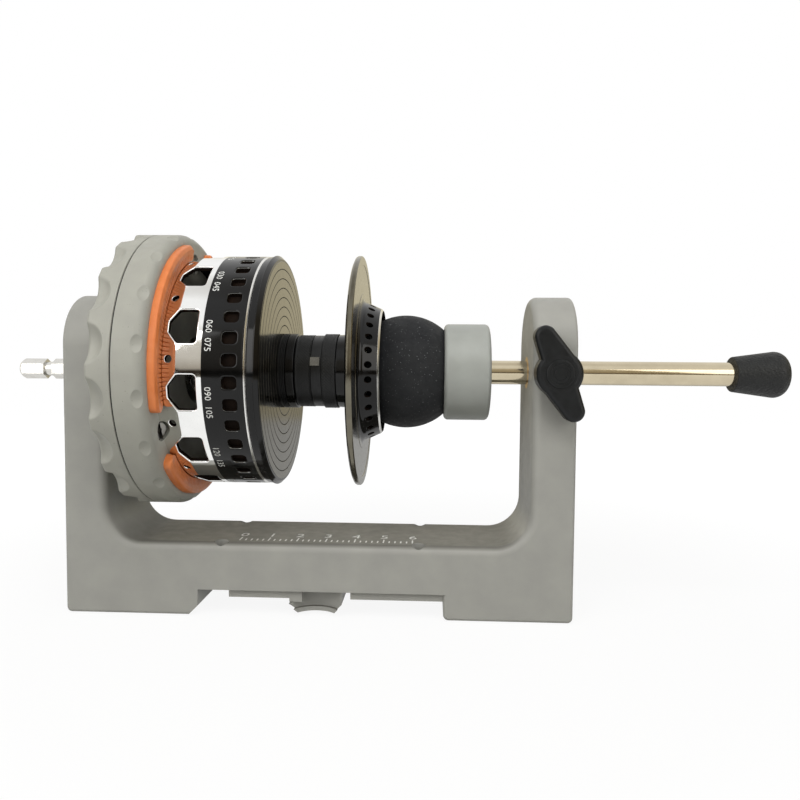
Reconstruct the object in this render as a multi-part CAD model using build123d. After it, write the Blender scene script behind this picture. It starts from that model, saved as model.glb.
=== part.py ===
from build123d import *
import os
from math import asin, cos, degrees, hypot, radians, sin, sqrt

# Fishing line winder: a cast stand with two posts. The head post carries a driven
# spindle and a three-jaw chuck with a reel spool in it; the tail post carries a
# sliding rod whose rubber ball holds the spool's open end. Millimetres.
# X runs along the spindle from the drive shank to the rod's end cap, Y is the
# depth with the clamp knob on the -Y side, Z is up. The origin lies on the ground
# under the middle of the whole length.
# Round pieces are built about the X axis and lifted to axis_height when saved.
# Angles about the spindle are counted from straight up towards the -Y side.

# ------------------------------------------------------------ driving sizes
# Stand
frame_depth = 36.4
post_thickness = 14.5
post_above_axis = 26.5      # top of the posts above the spindle
bed_height = 25.2           # top of the bed between the posts
apron_bottom = 9.0          # lower edge of the bed between the feet
frame_wall = 3.0
bed_corner_radius = 12.0
frame_edge_round = 2.8      # along the inside of the U
frame_end_round = 1.2       # round the outer faces of the posts
head_foot_length = 46.1
tail_foot_length = 43.5
foot_chamfer = 3.3
foot_corner_radius = 1.8
post_core_top = 64.0        # top of the hollow inside each post
rib_thickness = 2.0
rib_offset = 20.0           # from the clamp seat's centre to each cross rib
rib_gap = 1.0               # between a rib and the tray's rim
mark_radius = 2.35          # round recesses near the bed's corners
mark_depth = 2.6
mark_inset = 2.9            # from the bed's long edge to a recess's centre
mark_head_offset = 39.5     # from the head post's inner face to the first pair
mark_spacing = 67.7
axis_height = 84.0
shank_overhang = 24.0       # drive shank beyond the head post
tail_overhang = 75.3        # rod and cap beyond the tail post

# Tray and clamp seat under the bed
tray_depth_below = 2.8      # tray below the apron's edge
tray_recess = 1.5           # tray set back from the stand's faces
tray_notch = 10.5           # open gap between the head foot and the tray
tray_register = 2.0         # rim of the tray inside the bed
tray_register_inset = 1.0
tray_register_wall = 2.0
tray_screw_edge = 3.0       # screw head to the tray's end
tray_screw_side = 2.6       # screw head to the bed's wall
tray_tab_thickness = 1.6
tray_tab_length = 4.4
tray_tab_drop = 1.2
seat_offset = 72.3          # head post's inner face to the clamp seat's centre
seat_opening = 16.6         # gap in the tray for the seat
seat_opening_shift = 3.5    # its middle lies this far beyond the seat's, to the tail
seat_side_gap = 0.3
seat_pocket_gap = 0.4
seat_bottom = 1.2
seat_lip_thickness = 1.5
seat_lip_width = 12.6
seat_top_width = 18.0
seat_guide_radius = 10.2    # half-round guide for a bench clamp's screw
seat_guide_depth = 5.4      # from the stand's face to the guide's floor
seat_lip_step = 1.2
seat_back = 12.2            # thickness of the seat from its front face
seat_height = 14.8
seat_taper_height = 3.5     # lower part that narrows to the lip
seat_boss_depth = 14.0      # from the stand's face to the back of the seat's boss
seat_boss_inset = 1.0
seat_screw_spread = 4.2     # seat's centre to a screw
seat_screw_setback = 1.2
seat_screw_floor = 4.0      # seat under a screw's head
seat_screw_depth = 4.0      # thread engaged in the boss

# Fasteners: radius of shank, head, head height
m3_radius = 1.5
m3_clearance = 0.1
m3_head_radius = 2.75
m3_head_height = 1.7
m3_hex_radius = 1.15
socket_floor = 0.4          # share of a head's height under its socket
head_clearance = 0.2
boss_wall = 1.2             # boss beyond a screw's head
screw_depth = 6.0           # thread engaged in the stand
screw_tip_gap = 0.2
fit_gap = 0.1               # between pieces that are fitted together

# Spindle and its two ball bearings
spindle_bore = 10.0         # bearing bore
spindle_outer = 22.0        # bearing outside diameter
spindle_width = 6.0
ring_wall = 1.6
ball_gap = 0.05
ball_count = 9
hex_flats = 6.35
shank_neck_radius = 2.5
shank_neck_start = 8.9      # from the tip
shank_neck_length = 3.0
shank_tip_chamfer = 0.9
circlip_thickness = 1.0
circlip_groove = 0.4
circlip_width = 1.6         # beyond the journal
circlip_room = 1.0
circlip_opening = 3.2
journal_lead = 1.2          # journal beyond the circlip
shoulder_radius = 6.4
spindle_flange_radius = 9.0
spindle_flange_thickness = 3.3
spindle_seat_radius = 6.0
spindle_thread_radius = 4.0
spindle_end_inset = 1.0     # thread's end behind the chuck's face
nut_flats = 13.0
nut_thickness = 5.0
washer_radius = 9.0
washer_thickness = 1.0
retainer_radius = 17.5
retainer_hole_radius = 9.6
retainer_thickness = 2.0
retainer_screw_circle = 13.9

# Chuck, as large as the spool that it grips needs
spool_radius = 40.3
jaw_outer_radius = spool_radius + 4.2
chuck_radius = jaw_outer_radius + 3.2
chuck_gap = 7.7             # head post to the cam ring
cam_width = 7.8
friction_thickness = 0.5
friction_inset = 0.45
friction_inner_radius = chuck_radius - 9.3
chuck_width = 9.6
chuck_face_round = 3.2
chuck_front_wall = 3.6
slider_thickness = 3.0
hub_flange_radius = chuck_radius - 5.3
hub_boss_radius = 15.0
hub_boss_behind = 1.7       # boss behind the cam ring
running_gap = 0.05
chuck_centre_hole = 12.0
scallop_count = 18
scallop_radius = 6.5
cam_scallop_depth = 1.8
face_scallop_depth = 1.3
face_screw_circle = spool_radius - 2.3
face_recess_radius = 3.5
face_recess_depth = 2.6
cam_ring_clip_thickness = 1.0
cam_ring_clip_radius = 19.0
cam_ring_clip_opening = 4.4
cam_back_round = 1.2
cam_inner_round = 0.8
cam_back_recess = 2.0
cam_back_inner = 21.0
cam_back_outer = chuck_radius - 6.7

# Jaws, driven by spiral slots in the cam ring
jaw_grip_gap = 0.2
jaw_arc = 98.0
jaw_height = 2.7
jaw_bead_round = 1.0
jaw_end_round = 1.6
jaw_travel = 1.8            # outward, at cam_turn degrees of the cam ring
cam_turn = 45.0
jaw_tongue_width = 12.0
jaw_tongue_thickness = 1.8
jaw_tongue_grip = 2.0       # tongue inside the slider
slider_inner_radius = 27.0
slider_nose = 0.8           # slider beyond the tongue
pin_radius = 2.0
pin_circle = 31.0
pin_in_cam = 3.0
pin_in_slider = 2.0
slide_end_gap = 0.1         # slot beyond a slider's travel
spiral_margin = 4.0         # degrees of slot beyond the pin's travel
spiral_floor_gap = 0.5
spiral_steps = 6

# Reel spool held in the chuck
skirt_wall = 1.6
skirt_length = 15.1
window_count = 12
window_phase = 9.5
window_start = 4.1          # from the chuck's face
window_length = 9.1
window_width = 11.2
window_nose_length = 3.1
window_nose_width = 3.8
window_corner = 1.0
drain_hole_radius = 1.2
drain_hole_start = 4.8
band_length = 12.5
band_slot_count = 36
band_slot_phase = 5.0
band_slot_start = 6.2
band_slot_length = 4.5
band_slot_width = 3.8
band_slot_corner = 1.0
rim_length = 5.0
rim_radius = spool_radius + 0.5
rim_bevel = 1.5
flange_web = 2.4
flange_register = 1.5
arbor_length = 26.3
arbor_radius = 12.4
arbor_bore = 10.4
arbor_tail = 16.0           # arbor behind the rear flange
sleeve_radius = 13.3
rib_sleeve_length = 5.6
knurl_sleeve_start = 15.0
knurl_sleeve_length = 7.2
clip_start = 11.2
clip_length = 3.2
clip_width = 3.0
clip_height = 0.8
clip_angle = 75.0
front_flange_thickness = 2.3
front_flange_radius = spool_radius + 0.3
front_flange_bevel = 0.8
cup_foot_radius = 27.0
cup_foot_thickness = 1.7
cup_base_radius = 24.3
cup_mouth_radius = 21.9
cup_length = 7.0
cup_hole_count = 30
cup_hole_radius = 1.05
cup_hole_length = 5.0
cup_seat_gap = 0.45

# Tail: ball, collar, bearing, rod and cap
tail_travel = 13.0          # the rod's way out of the spool
tail_stop_gap = 0.6         # left between collar and post at the end of that way
ball_radius = 20.0
ball_from_cup = 8.2         # cup mouth to the ball's centre
ball_flat = 13.0            # ball's centre to its flat end inside the cup
collar_from_ball = 13.4     # ball's centre to the collar's face
collar_radius = 17.0
collar_length = 15.8
collar_round = 1.6
collar_end_wall = 2.5
tail_bearing_bore = 8.0
tail_bearing_outer = 22.0
tail_bearing_width = 7.0
tail_ball_count = 7
core_spigot_radius = 6.0
core_spigot_length = 16.0
core_hollow_radius = 7.5
core_front_wall = 1.6
rod_radius = 4.2
rod_gap = 0.05
rod_hole_gap = 0.8
rod_end_inset = 0.3         # rod's end inside the bearing
tail_screw_radius = 2.0
tail_screw_length = 8.0
tail_washer_radius = 5.6
tail_washer_thickness = 1.0
tail_screw_head_radius = 3.4
tail_screw_head_height = 1.4
bush_wall = 1.4
cap_length = 18.4
cap_small_radius = 6.15
cap_large_radius = 8.7      # where the taper would meet the end face
cap_edge_round = 0.5
cap_dome_round = 4.2
cap_socket_depth = 12.0

# Clamp knob on the tail post
knob_hub_radius = 7.5
knob_hub_height = 8.3
knob_gap = 0.5
knob_wing_reach = 12.8      # hub's centre to the round end of a wing
knob_wing_end_radius = 3.5
knob_wing_root_radius = 5.85
knob_wing_side = 1.4        # wings stand to one side of the hub's centre
knob_wing_height = 6.8      # hub's front to the wings' back
knob_wing_step = 0.4        # wings' front behind the hub's front
knob_lean = 27.7
knob_cap_radius = 4.6
knob_cap_thickness = 0.8
stud_radius = 3.0
stud_thread_gap = 0.05
stud_in_knob = 5.5
insert_radius = 4.6
insert_length = 9.0
pad_gap = 0.05
pad_length = 4.2
over = 1.0                  # how far a cutting shape runs past a face

# ------------------------------------------------------------ worked-out places
chuck_length = chuck_gap + cam_width + friction_thickness + chuck_width
spool_length = skirt_length + band_length + rim_length + arbor_length + front_flange_thickness + cup_length
tail_length = ball_from_cup + collar_from_ball + collar_length + tail_travel + tail_stop_gap
frame_length = chuck_length + spool_length + tail_length + 2 * post_thickness
post_height = axis_height + post_above_axis
overall_length = shank_overhang + frame_length + tail_overhang
shank_tip = -overall_length / 2
head_outer = shank_tip + shank_overhang
head_inner = head_outer + post_thickness
tail_outer = head_outer + frame_length
tail_inner = tail_outer - post_thickness
head_foot_end = head_outer + head_foot_length
tail_foot_start = tail_outer - tail_foot_length
half_depth = frame_depth / 2
ceiling = bed_height - frame_wall

tray_start = head_foot_end + tray_notch
tray_bottom = apron_bottom - tray_depth_below
tray_half = half_depth - tray_recess
seat_x = head_inner + seat_offset
seat_gap_start = seat_x + seat_opening_shift - seat_opening / 2
seat_gap_end = seat_gap_start + seat_opening
seat_top = seat_bottom + seat_height
seat_head_top = seat_top - seat_screw_floor
tray_head_top = tray_bottom + m3_head_height + fit_gap

bearing_floor = head_inner - 2 * spindle_width
journal_radius = spindle_bore / 2
cam_back = head_inner + chuck_gap
flange_front = cam_back - hub_boss_behind
cam_clip_start = cam_back - running_gap - cam_ring_clip_thickness
cam_front = cam_back + cam_width
face_back = cam_front + friction_thickness
chuck_face = face_back + chuck_width
hub_flange_front = chuck_face - chuck_front_wall - slider_thickness
slider_front = chuck_face - chuck_front_wall
spindle_end = chuck_face - spindle_end_inset
jaw_inner_radius = spool_radius + jaw_grip_gap
jaw_angles = [60, 180, 300]
screw_angles = [0, 120, 240]

band_start = chuck_face + skirt_length
rim_start = band_start + band_length
rear_flange_face = rim_start + rim_length
front_flange_start = rear_flange_face + arbor_length
front_flange_face = front_flange_start + front_flange_thickness
cup_mouth = front_flange_face + cup_length
ball_x = cup_mouth + ball_from_cup
collar_start = ball_x + collar_from_ball
collar_end = collar_start + collar_length
tail_bearing_end = collar_end - collar_end_wall
tail_bearing_start = tail_bearing_end - tail_bearing_width
rod_end = tail_bearing_start + rod_end_inset
cap_end = tail_outer + tail_overhang
cap_start = cap_end - cap_length
knob_x = tail_inner + post_thickness / 2
knob_back = -half_depth - knob_gap
pad_tip = -rod_radius - pad_gap
pad_back = pad_tip - pad_length

on_axis = Pos(0, 0, axis_height)
spindle_line = Axis((0, 0, 0), (1, 0, 0))
nodes = {}


# ------------------------------------------------------------ shared shapes
def end_plane(x):
    """Drawing plane across the spindle axis, with Y to the right and Z up."""
    return Plane(origin=(x, 0, 0), x_dir=(0, 1, 0), z_dir=(1, 0, 0))


def bar(start, end, radius):
    """Round bar on the spindle axis."""
    return Pos((start + end) / 2, 0, 0) * Rot(0, 90, 0) * Cylinder(radius, end - start)


def ring(start, end, outer, inner):
    return bar(start, end, outer) - bar(start - over, end + over, inner)


def turned(*points, rounds=None):
    """Piece turned about the spindle axis from corners (x, radius); rounds holds
    one radius for each corner."""
    outline = Polyline(*points, close=True)
    if rounds:
        outline = FilletPolyline(*points, radius=rounds, close=True)
    return revolve(Plane.XZ * make_face(outline), axis=spindle_line)


def block(x_range, y_range, z_range):
    """Block between two corners."""
    sizes = [high - low for low, high in (x_range, y_range, z_range)]
    middles = [(high + low) / 2 for low, high in (x_range, y_range, z_range)]
    return Pos(*middles) * Box(*sizes)


def hex_bar(start, end, flats):
    """Hexagonal bar on the spindle axis with a corner towards the front."""
    hexagon = RegularPolygon(flats / 2, 6, major_radius=False, rotation=30)
    return extrude(end_plane(start) * hexagon, end - start)


def off_axis_bar(start, end, height, radius):
    """Round bar along X at a height above the spindle axis."""
    return Pos(0, 0, height) * bar(start, end, radius)


def copies(shape, angles):
    """The shape turned about the spindle axis to each angle."""
    return [Rot(angle, 0, 0) * shape for angle in angles]


def even_angles(count, phase=0.0):
    return [phase + 360 * number / count for number in range(count)]


def upright_cylinder(x, y, bottom, top, radius):
    return Pos(x, y, (bottom + top) / 2) * Cylinder(radius, top - bottom)


def cap_screw(length, radius=m3_radius, head_radius=m3_head_radius, head_height=m3_head_height):
    """Screw along -Z with its head above z = 0 and a hexagon socket."""
    shank = Pos(0, 0, -length / 2) * Cylinder(radius, length)
    head = Pos(0, 0, head_height / 2) * Cylinder(head_radius, head_height)
    floor = Plane(origin=(0, 0, head_height * socket_floor))
    socket = extrude(floor * RegularPolygon(m3_hex_radius, 6), head_height)
    return shank + head - socket


def bearing(start, bore, outside, width, count):
    """Outer ring, inner ring and balls of a ball bearing."""
    inner_edge = bore / 2 + ring_wall
    outer_edge = outside / 2 - ring_wall
    outer = ring(start, start + width, outside / 2, outer_edge)
    inner = ring(start, start + width, inner_edge, bore / 2)
    ball = Sphere((outer_edge - inner_edge) / 2 - ball_gap)
    pitch = (outer_edge + inner_edge) / 2
    balls = copies(Pos(start + width / 2, 0, pitch) * ball, even_angles(count))
    return outer, inner, balls


def scallops(edge, depth):
    """Round dishes in the rim of the chuck at the given edge."""
    cutter = Pos(edge, 0, chuck_radius - depth + scallop_radius) * Sphere(scallop_radius)
    return copies(cutter, even_angles(scallop_count))


# ------------------------------------------------------------ stand
def frame_outline():
    """Front outline of the stand, a U on two feet."""
    corners = [
        (head_outer, 0),
        (head_foot_end - foot_chamfer, 0),
        (head_foot_end, foot_chamfer),
        (head_foot_end, apron_bottom),
        (tail_foot_start, apron_bottom),
        (tail_foot_start, 0),
        (tail_outer, 0),
        (tail_outer, post_height),
        (tail_inner, post_height),
        (tail_inner, bed_height),
        (head_inner, bed_height),
        (head_inner, post_height),
        (head_outer, post_height),
    ]
    foot = foot_corner_radius
    bed = bed_corner_radius
    rounds = [foot, 0, 0, 0, 0, foot, foot, 0, 0, bed, bed, 0, 0]
    return make_face(FilletPolyline(*corners, radius=rounds, close=True))


def post_arch():
    """End outline of the stand: straight sides under a half-round top."""
    spring = post_height - half_depth
    sides = Pos(0, spring / 2) * Rectangle(frame_depth, spring)
    return sides + Pos(0, spring) * Circle(half_depth)


def make_frame():
    body = extrude(Plane.XZ * frame_outline(), half_depth, both=True)
    body = body & extrude(end_plane(head_outer - over) * post_arch(), frame_length + 2 * over)
    between_posts = body.edges().filter_by_position(Axis.X, head_inner - fit_gap, tail_inner + fit_gap)
    inner_edges = between_posts.filter_by_position(Axis.Z, bed_height - fit_gap, post_height + fit_gap)
    body = fillet(inner_edges, frame_edge_round)
    for x in (head_outer, tail_outer):
        end_edges = body.edges().filter_by_position(Axis.X, x - fit_gap, x + fit_gap)
        post_edges = end_edges.filter_by_position(Axis.Z, bed_height, post_height + fit_gap)
        body = fillet(post_edges, frame_end_round)

    across = (frame_wall - half_depth, half_depth - frame_wall)
    foot = (-over, ceiling)
    core = (ceiling - over, post_core_top)
    body -= block((head_outer + frame_wall, head_foot_end - frame_wall), across, foot)
    body -= block((head_foot_end, tail_foot_start), across, (0, ceiling))
    body -= block((tail_foot_start + frame_wall, tail_outer - frame_wall), across, foot)
    body -= block((head_outer + frame_wall, head_inner - frame_wall), across, core)
    body -= block((tail_inner + frame_wall, tail_outer - frame_wall), across, core)
    return body + bed_ribs() + tray_bosses() + seat_boss()


def bed_ribs():
    """Cross ribs that stiffen the hollow bed."""
    inside = half_depth - frame_wall
    low = apron_bottom + tray_register + rib_gap
    ribs = []
    for middle in (seat_x - rib_offset, seat_x + rib_offset):
        x_range = (middle - rib_thickness / 2, middle + rib_thickness / 2)
        ribs.append(block(x_range, (-inside - over, inside + over), (low, ceiling + over)))
    return ribs


def tray_screw_places():
    inset = m3_head_radius + tray_screw_edge
    across = half_depth - frame_wall - m3_head_radius - tray_screw_side
    return [(x, y) for x in (tray_start + inset, tail_foot_start - inset) for y in (-across, across)]


def tray_bosses():
    low = apron_bottom + tray_register
    radius = m3_head_radius + boss_wall
    return [upright_cylinder(x, y, low, ceiling + over, radius) for x, y in tray_screw_places()]


def seat_screw_places():
    y = -half_depth + (seat_guide_depth + seat_back) / 2 + seat_screw_setback
    return [(seat_x - seat_screw_spread, y), (seat_x + seat_screw_spread, y)]


def seat_boss():
    half = seat_top_width / 2 - seat_boss_inset
    across = (-half_depth + frame_wall, -half_depth + seat_boss_depth)
    return block((seat_x - half, seat_x + half), across, (seat_top, ceiling + over))


def corner_marks():
    """Round recesses near the bed's four corners."""
    across = half_depth - mark_inset
    first = head_inner + mark_head_offset
    places = [(x, y) for x in (first, first + mark_spacing) for y in (-across, across)]
    floor = bed_height - mark_depth
    return [upright_cylinder(x, y, floor, bed_height + over, mark_radius) for x, y in places]


def retainer_screws():
    place = Pos(head_inner + retainer_thickness, 0, retainer_screw_circle) * Rot(0, 90, 0)
    return copies(place * cap_screw(retainer_thickness + screw_depth), screw_angles)


def retainer_holes(radius, start, end):
    return copies(off_axis_bar(start, end, retainer_screw_circle, radius), screw_angles)


def clamp_hole(radius, front, back):
    """Hole or bar along Y at the knob's centre on the rod's height."""
    middle = Pos(knob_x, (front + back) / 2, axis_height)
    return middle * Rot(90, 0, 0) * Cylinder(radius, back - front)


bush_radius = rod_radius + rod_gap + bush_wall
circlip_recess_radius = journal_radius + circlip_width + circlip_room
retainer_hole_start = head_inner - screw_depth - screw_tip_gap
frame = make_frame() - corner_marks()
frame -= on_axis * bar(bearing_floor, head_inner + over, spindle_outer / 2)
frame -= on_axis * bar(head_outer - over, bearing_floor + over, circlip_recess_radius)
for hole in retainer_holes(m3_radius, retainer_hole_start, head_inner + over):
    frame -= on_axis * hole
frame -= on_axis * bar(tail_inner - over, tail_outer + over, bush_radius)
frame -= clamp_hole(insert_radius, -half_depth - over, -half_depth + insert_length)
frame -= clamp_hole(stud_radius, -half_depth, 0)
for x, y in tray_screw_places():
    frame -= upright_cylinder(x, y, 0, tray_head_top + screw_depth + screw_tip_gap, m3_radius)
for x, y in seat_screw_places():
    frame -= upright_cylinder(x, y, 0, seat_top + seat_screw_depth + screw_tip_gap, m3_radius)
nodes["frame_casting"] = frame

nodes["bearing_retainer"] = on_axis * (
    ring(head_inner, head_inner + retainer_thickness, retainer_radius, retainer_hole_radius)
    - retainer_holes(m3_radius + m3_clearance, head_inner - over, head_inner + retainer_thickness + over)
)
nodes["retainer_screws"] = [on_axis * screw for screw in retainer_screws()]

rod_bush = ring(tail_inner, tail_outer, bush_radius, rod_radius + rod_gap)
nodes["rod_bush"] = on_axis * rod_bush - clamp_hole(stud_radius, -half_depth, 0)
insert = clamp_hole(insert_radius, -half_depth, -half_depth + insert_length)
nodes["clamp_insert"] = insert - clamp_hole(stud_radius, -half_depth - over, 0)


# ------------------------------------------------------------ tray and clamp seat
def make_tray():
    plate = block((tray_start, tail_foot_start), (-tray_half, tray_half), (tray_bottom, apron_bottom))
    start = tray_start + tray_register_inset
    end = tail_foot_start - tray_register_inset
    wall = tray_register_wall
    inside = half_depth - frame_wall - fit_gap
    rim_top = apron_bottom + tray_register
    register = block((start, end), (-inside, inside), (apron_bottom - over, rim_top))
    hollow = (wall - inside, inside - wall)
    register -= block((start + wall, end - wall), hollow, (apron_bottom, rim_top + over))
    tab_back = -tray_half + tray_tab_thickness
    tab_x = (seat_gap_start - tray_tab_length, seat_gap_start)
    tray = plate + register
    tray += block(tab_x, (-tray_half, tab_back), (tray_bottom - tray_tab_drop, tray_bottom + over))

    pocket_back = -half_depth + seat_back + seat_pocket_gap
    pocket_start = seat_x - seat_top_width / 2 - seat_side_gap
    through = (0, bed_height)
    tray -= block((seat_gap_start, seat_gap_end), (-half_depth - over, pocket_back), through)
    tray -= block((pocket_start, seat_gap_start + over), (tab_back, pocket_back), through)
    for x, y in tray_screw_places():
        tray -= upright_cylinder(x, y, *through, m3_radius + m3_clearance)
        tray -= upright_cylinder(x, y, 0, tray_head_top, m3_head_radius + head_clearance)
        tray -= upright_cylinder(x, y, apron_bottom, bed_height, m3_head_radius + boss_wall + fit_gap)
    return tray


def seat_outline():
    """Front outline of the clamp seat, narrower towards its lip."""
    half_top = seat_top_width / 2
    half_lip = seat_lip_width / 2
    taper_top = seat_bottom + seat_taper_height
    return Polyline(
        (seat_x - half_top, seat_top),
        (seat_x - half_top, taper_top),
        (seat_x - half_lip, seat_bottom),
        (seat_x + half_lip, seat_bottom),
        (seat_x + half_top, taper_top),
        (seat_x + half_top, seat_top),
        close=True,
    )


def make_seat():
    """Half-round guide with a lip, for the screw of a bench clamp."""
    front = -half_depth
    seat = Pos(0, front + seat_back, 0) * extrude(Plane.XZ * make_face(seat_outline()), seat_back)
    guide_y = front + seat_guide_depth - seat_guide_radius
    lip_top = seat_bottom + seat_lip_thickness
    seat -= upright_cylinder(seat_x, guide_y, lip_top, bed_height, seat_guide_radius)
    seat -= upright_cylinder(seat_x, guide_y, -over, bed_height, seat_guide_radius - seat_lip_step)

    side = seat_top_width / 2 + over
    tab_room = (front - over, -tray_half + tray_tab_thickness + fit_gap)
    tab_bottom = tray_bottom - tray_tab_drop - fit_gap
    seat -= block((seat_x - side, seat_gap_start + fit_gap), tab_room, (tab_bottom, bed_height))
    wall_room = (front - over, front + frame_wall + fit_gap)
    seat -= block((seat_x - side, seat_x + side), wall_room, (apron_bottom - fit_gap, bed_height))
    for x, y in seat_screw_places():
        seat -= upright_cylinder(x, y, 0, bed_height, m3_radius + m3_clearance)
        seat -= upright_cylinder(x, y, 0, seat_head_top, m3_head_radius + head_clearance)
    return seat


def screws_from_below(places, head_top, length):
    """Screws pushed up from below, with their heads under head_top."""
    return [Pos(x, y, head_top) * Rot(180, 0, 0) * cap_screw(length) for x, y in places]


nodes["base_tray"] = make_tray()
nodes["tray_screws"] = screws_from_below(tray_screw_places(), tray_head_top, screw_depth)
nodes["clamp_seat"] = make_seat()
seat_screw_length = seat_screw_floor + seat_screw_depth
nodes["seat_screws"] = screws_from_below(seat_screw_places(), seat_head_top, seat_screw_length)


# ------------------------------------------------------------ spindle and bearings
def spindle_bearing_parts():
    outers, inners, balls = [], [], []
    for number in range(2):
        start = bearing_floor + number * spindle_width
        outer, inner, row_of_balls = bearing(start, spindle_bore, spindle_outer, spindle_width, ball_count)
        outers.append(outer)
        inners.append(inner)
        balls += row_of_balls
    return outers, inners, balls


def make_spindle():
    journal_start = bearing_floor - circlip_thickness - journal_lead
    hex_part = hex_bar(shank_tip, journal_start + over, hex_flats)
    corner = hex_flats / sqrt(3)
    chamfered = turned(
        (shank_tip, 0),
        (shank_tip, corner - shank_tip_chamfer),
        (shank_tip + shank_tip_chamfer, corner),
        (journal_start + 2 * over, corner),
        (journal_start + 2 * over, 0),
    )
    hex_part = hex_part & chamfered
    neck_start = shank_tip + shank_neck_start
    hex_part -= ring(neck_start, neck_start + shank_neck_length, hex_flats, shank_neck_radius)
    groove = bearing_floor - circlip_thickness
    body = turned(
        (journal_start, 0),
        (journal_start, journal_radius),
        (groove, journal_radius),
        (groove, journal_radius - circlip_groove),
        (bearing_floor, journal_radius - circlip_groove),
        (bearing_floor, journal_radius),
        (head_inner, journal_radius),
        (head_inner, shoulder_radius),
        (flange_front - spindle_flange_thickness, shoulder_radius),
        (flange_front - spindle_flange_thickness, spindle_flange_radius),
        (flange_front, spindle_flange_radius),
        (flange_front, spindle_seat_radius),
        (hub_flange_front, spindle_seat_radius),
        (hub_flange_front, spindle_thread_radius),
        (spindle_end, spindle_thread_radius),
        (spindle_end, 0),
    )
    return hex_part + body


def open_clip(start, thickness, outer, inner, opening):
    """Retaining ring with an opening at the top."""
    gap = block((start - over, start + thickness + over), (-opening / 2, opening / 2), (0, 2 * outer))
    return ring(start, start + thickness, outer, inner) - gap


def make_circlip():
    start = bearing_floor - circlip_thickness
    outer = journal_radius + circlip_width
    return open_clip(start, circlip_thickness, outer, journal_radius - circlip_groove, circlip_opening)


outer_rings, inner_rings, balls = spindle_bearing_parts()
nodes["spindle_bearing_outer_rings"] = [on_axis * piece for piece in outer_rings]
nodes["spindle_bearing_inner_rings"] = [on_axis * piece for piece in inner_rings]
nodes["spindle_bearing_balls"] = [on_axis * piece for piece in balls]
nodes["drive_spindle"] = on_axis * make_spindle()
nodes["spindle_circlip"] = on_axis * make_circlip()


# ------------------------------------------------------------ chuck
def radial_slot(x_range, width, radii):
    return block(x_range, (-width / 2, width / 2), radii)


def make_hub():
    hub = turned(
        (flange_front, spindle_seat_radius),
        (flange_front, hub_boss_radius),
        (face_back, hub_boss_radius),
        (face_back, hub_flange_radius),
        (hub_flange_front, hub_flange_radius),
        (hub_flange_front, spindle_seat_radius),
    )
    clip_end = cam_clip_start + cam_ring_clip_thickness
    hub -= ring(cam_clip_start, clip_end, hub_boss_radius + over, hub_boss_radius - circlip_groove)
    pin_reach = pin_radius + running_gap + slide_end_gap
    reach = (pin_circle - pin_reach, pin_circle + jaw_travel + pin_reach)
    slot = radial_slot((face_back - over, hub_flange_front + over), 2 * (pin_radius + running_gap), reach)
    hub -= copies(slot, jaw_angles)
    screw_hole = off_axis_bar(face_back - over, hub_flange_front + over, face_screw_circle, m3_radius)
    return hub - copies(screw_hole, screw_angles)


def make_chuck_body():
    body = turned(
        (face_back, hub_flange_radius),
        (face_back, chuck_radius),
        (chuck_face, chuck_radius),
        (chuck_face, chuck_centre_hole),
        (hub_flange_front, chuck_centre_hole),
        (hub_flange_front, hub_flange_radius),
        rounds=[0, 0, chuck_face_round, 0, 0, 0],
    )
    body -= scallops(chuck_face, face_scallop_depth)
    width = jaw_tongue_width + 2 * running_gap
    far = jaw_inner_radius + jaw_tongue_thickness + jaw_travel + slide_end_gap
    tongue_slot = radial_slot((hub_flange_front, chuck_face + over), width, (jaw_inner_radius, far))
    slider_x = (hub_flange_front - over, slider_front + running_gap)
    slider_slot = radial_slot(slider_x, width, (slider_inner_radius - slide_end_gap, far + slider_nose))
    body -= copies(tongue_slot, jaw_angles)
    body -= copies(slider_slot, jaw_angles)
    beyond = chuck_face + over
    hole = off_axis_bar(face_back - over, beyond, face_screw_circle, m3_radius + m3_clearance)
    recess = off_axis_bar(chuck_face - face_recess_depth, beyond, face_screw_circle, face_recess_radius)
    return body - copies(hole + recess, screw_angles)


def chuck_screws():
    length = chuck_width - face_recess_depth - screw_tip_gap
    place = Pos(chuck_face - face_recess_depth, 0, face_screw_circle) * Rot(0, 90, 0)
    return copies(place * cap_screw(length), screw_angles)


def spiral_point(angle, turn, side):
    """Point (y, z) on one side of a cam slot, turn degrees back from its jaw."""
    radius = pin_circle + jaw_travel * turn / cam_turn + side
    direction = radians(angle - turn)
    return (-radius * sin(direction), radius * cos(direction))


def spiral_slot(angle):
    """Cam slot whose radius grows evenly with the turn of the cam ring."""
    sweep = cam_turn + 2 * spiral_margin
    turns = [sweep * step / spiral_steps - spiral_margin for step in range(spiral_steps + 1)]
    half = pin_radius + running_gap
    outer = [spiral_point(angle, turn, half) for turn in turns]
    inner = [spiral_point(angle, turn, -half) for turn in turns]
    ends = [Line(outer[-1], inner[-1]), Line(inner[0], outer[0])]
    outline = make_face([Spline(*outer), Spline(*inner), *ends])
    floor = cam_front - pin_in_cam - spiral_floor_gap
    return extrude(end_plane(floor) * outline, cam_front - floor + over)


def make_cam_ring():
    bore = hub_boss_radius + running_gap
    cam = turned(
        (cam_back, bore),
        (cam_back, cam_back_inner),
        (cam_back + cam_back_recess, cam_back_inner),
        (cam_back + cam_back_recess, cam_back_outer),
        (cam_back, cam_back_outer),
        (cam_back, chuck_radius),
        (cam_front, chuck_radius),
        (cam_front, bore),
        rounds=[0, 0, 0, 0, cam_inner_round, cam_back_round, 0, 0],
    )
    cam -= scallops(cam_back, cam_scallop_depth)
    return cam - [spiral_slot(angle) for angle in jaw_angles]


def make_friction_ring():
    """Thin dark ring between the cam ring and the chuck body."""
    return ring(cam_front, face_back, chuck_radius - friction_inset, friction_inner_radius)


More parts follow.
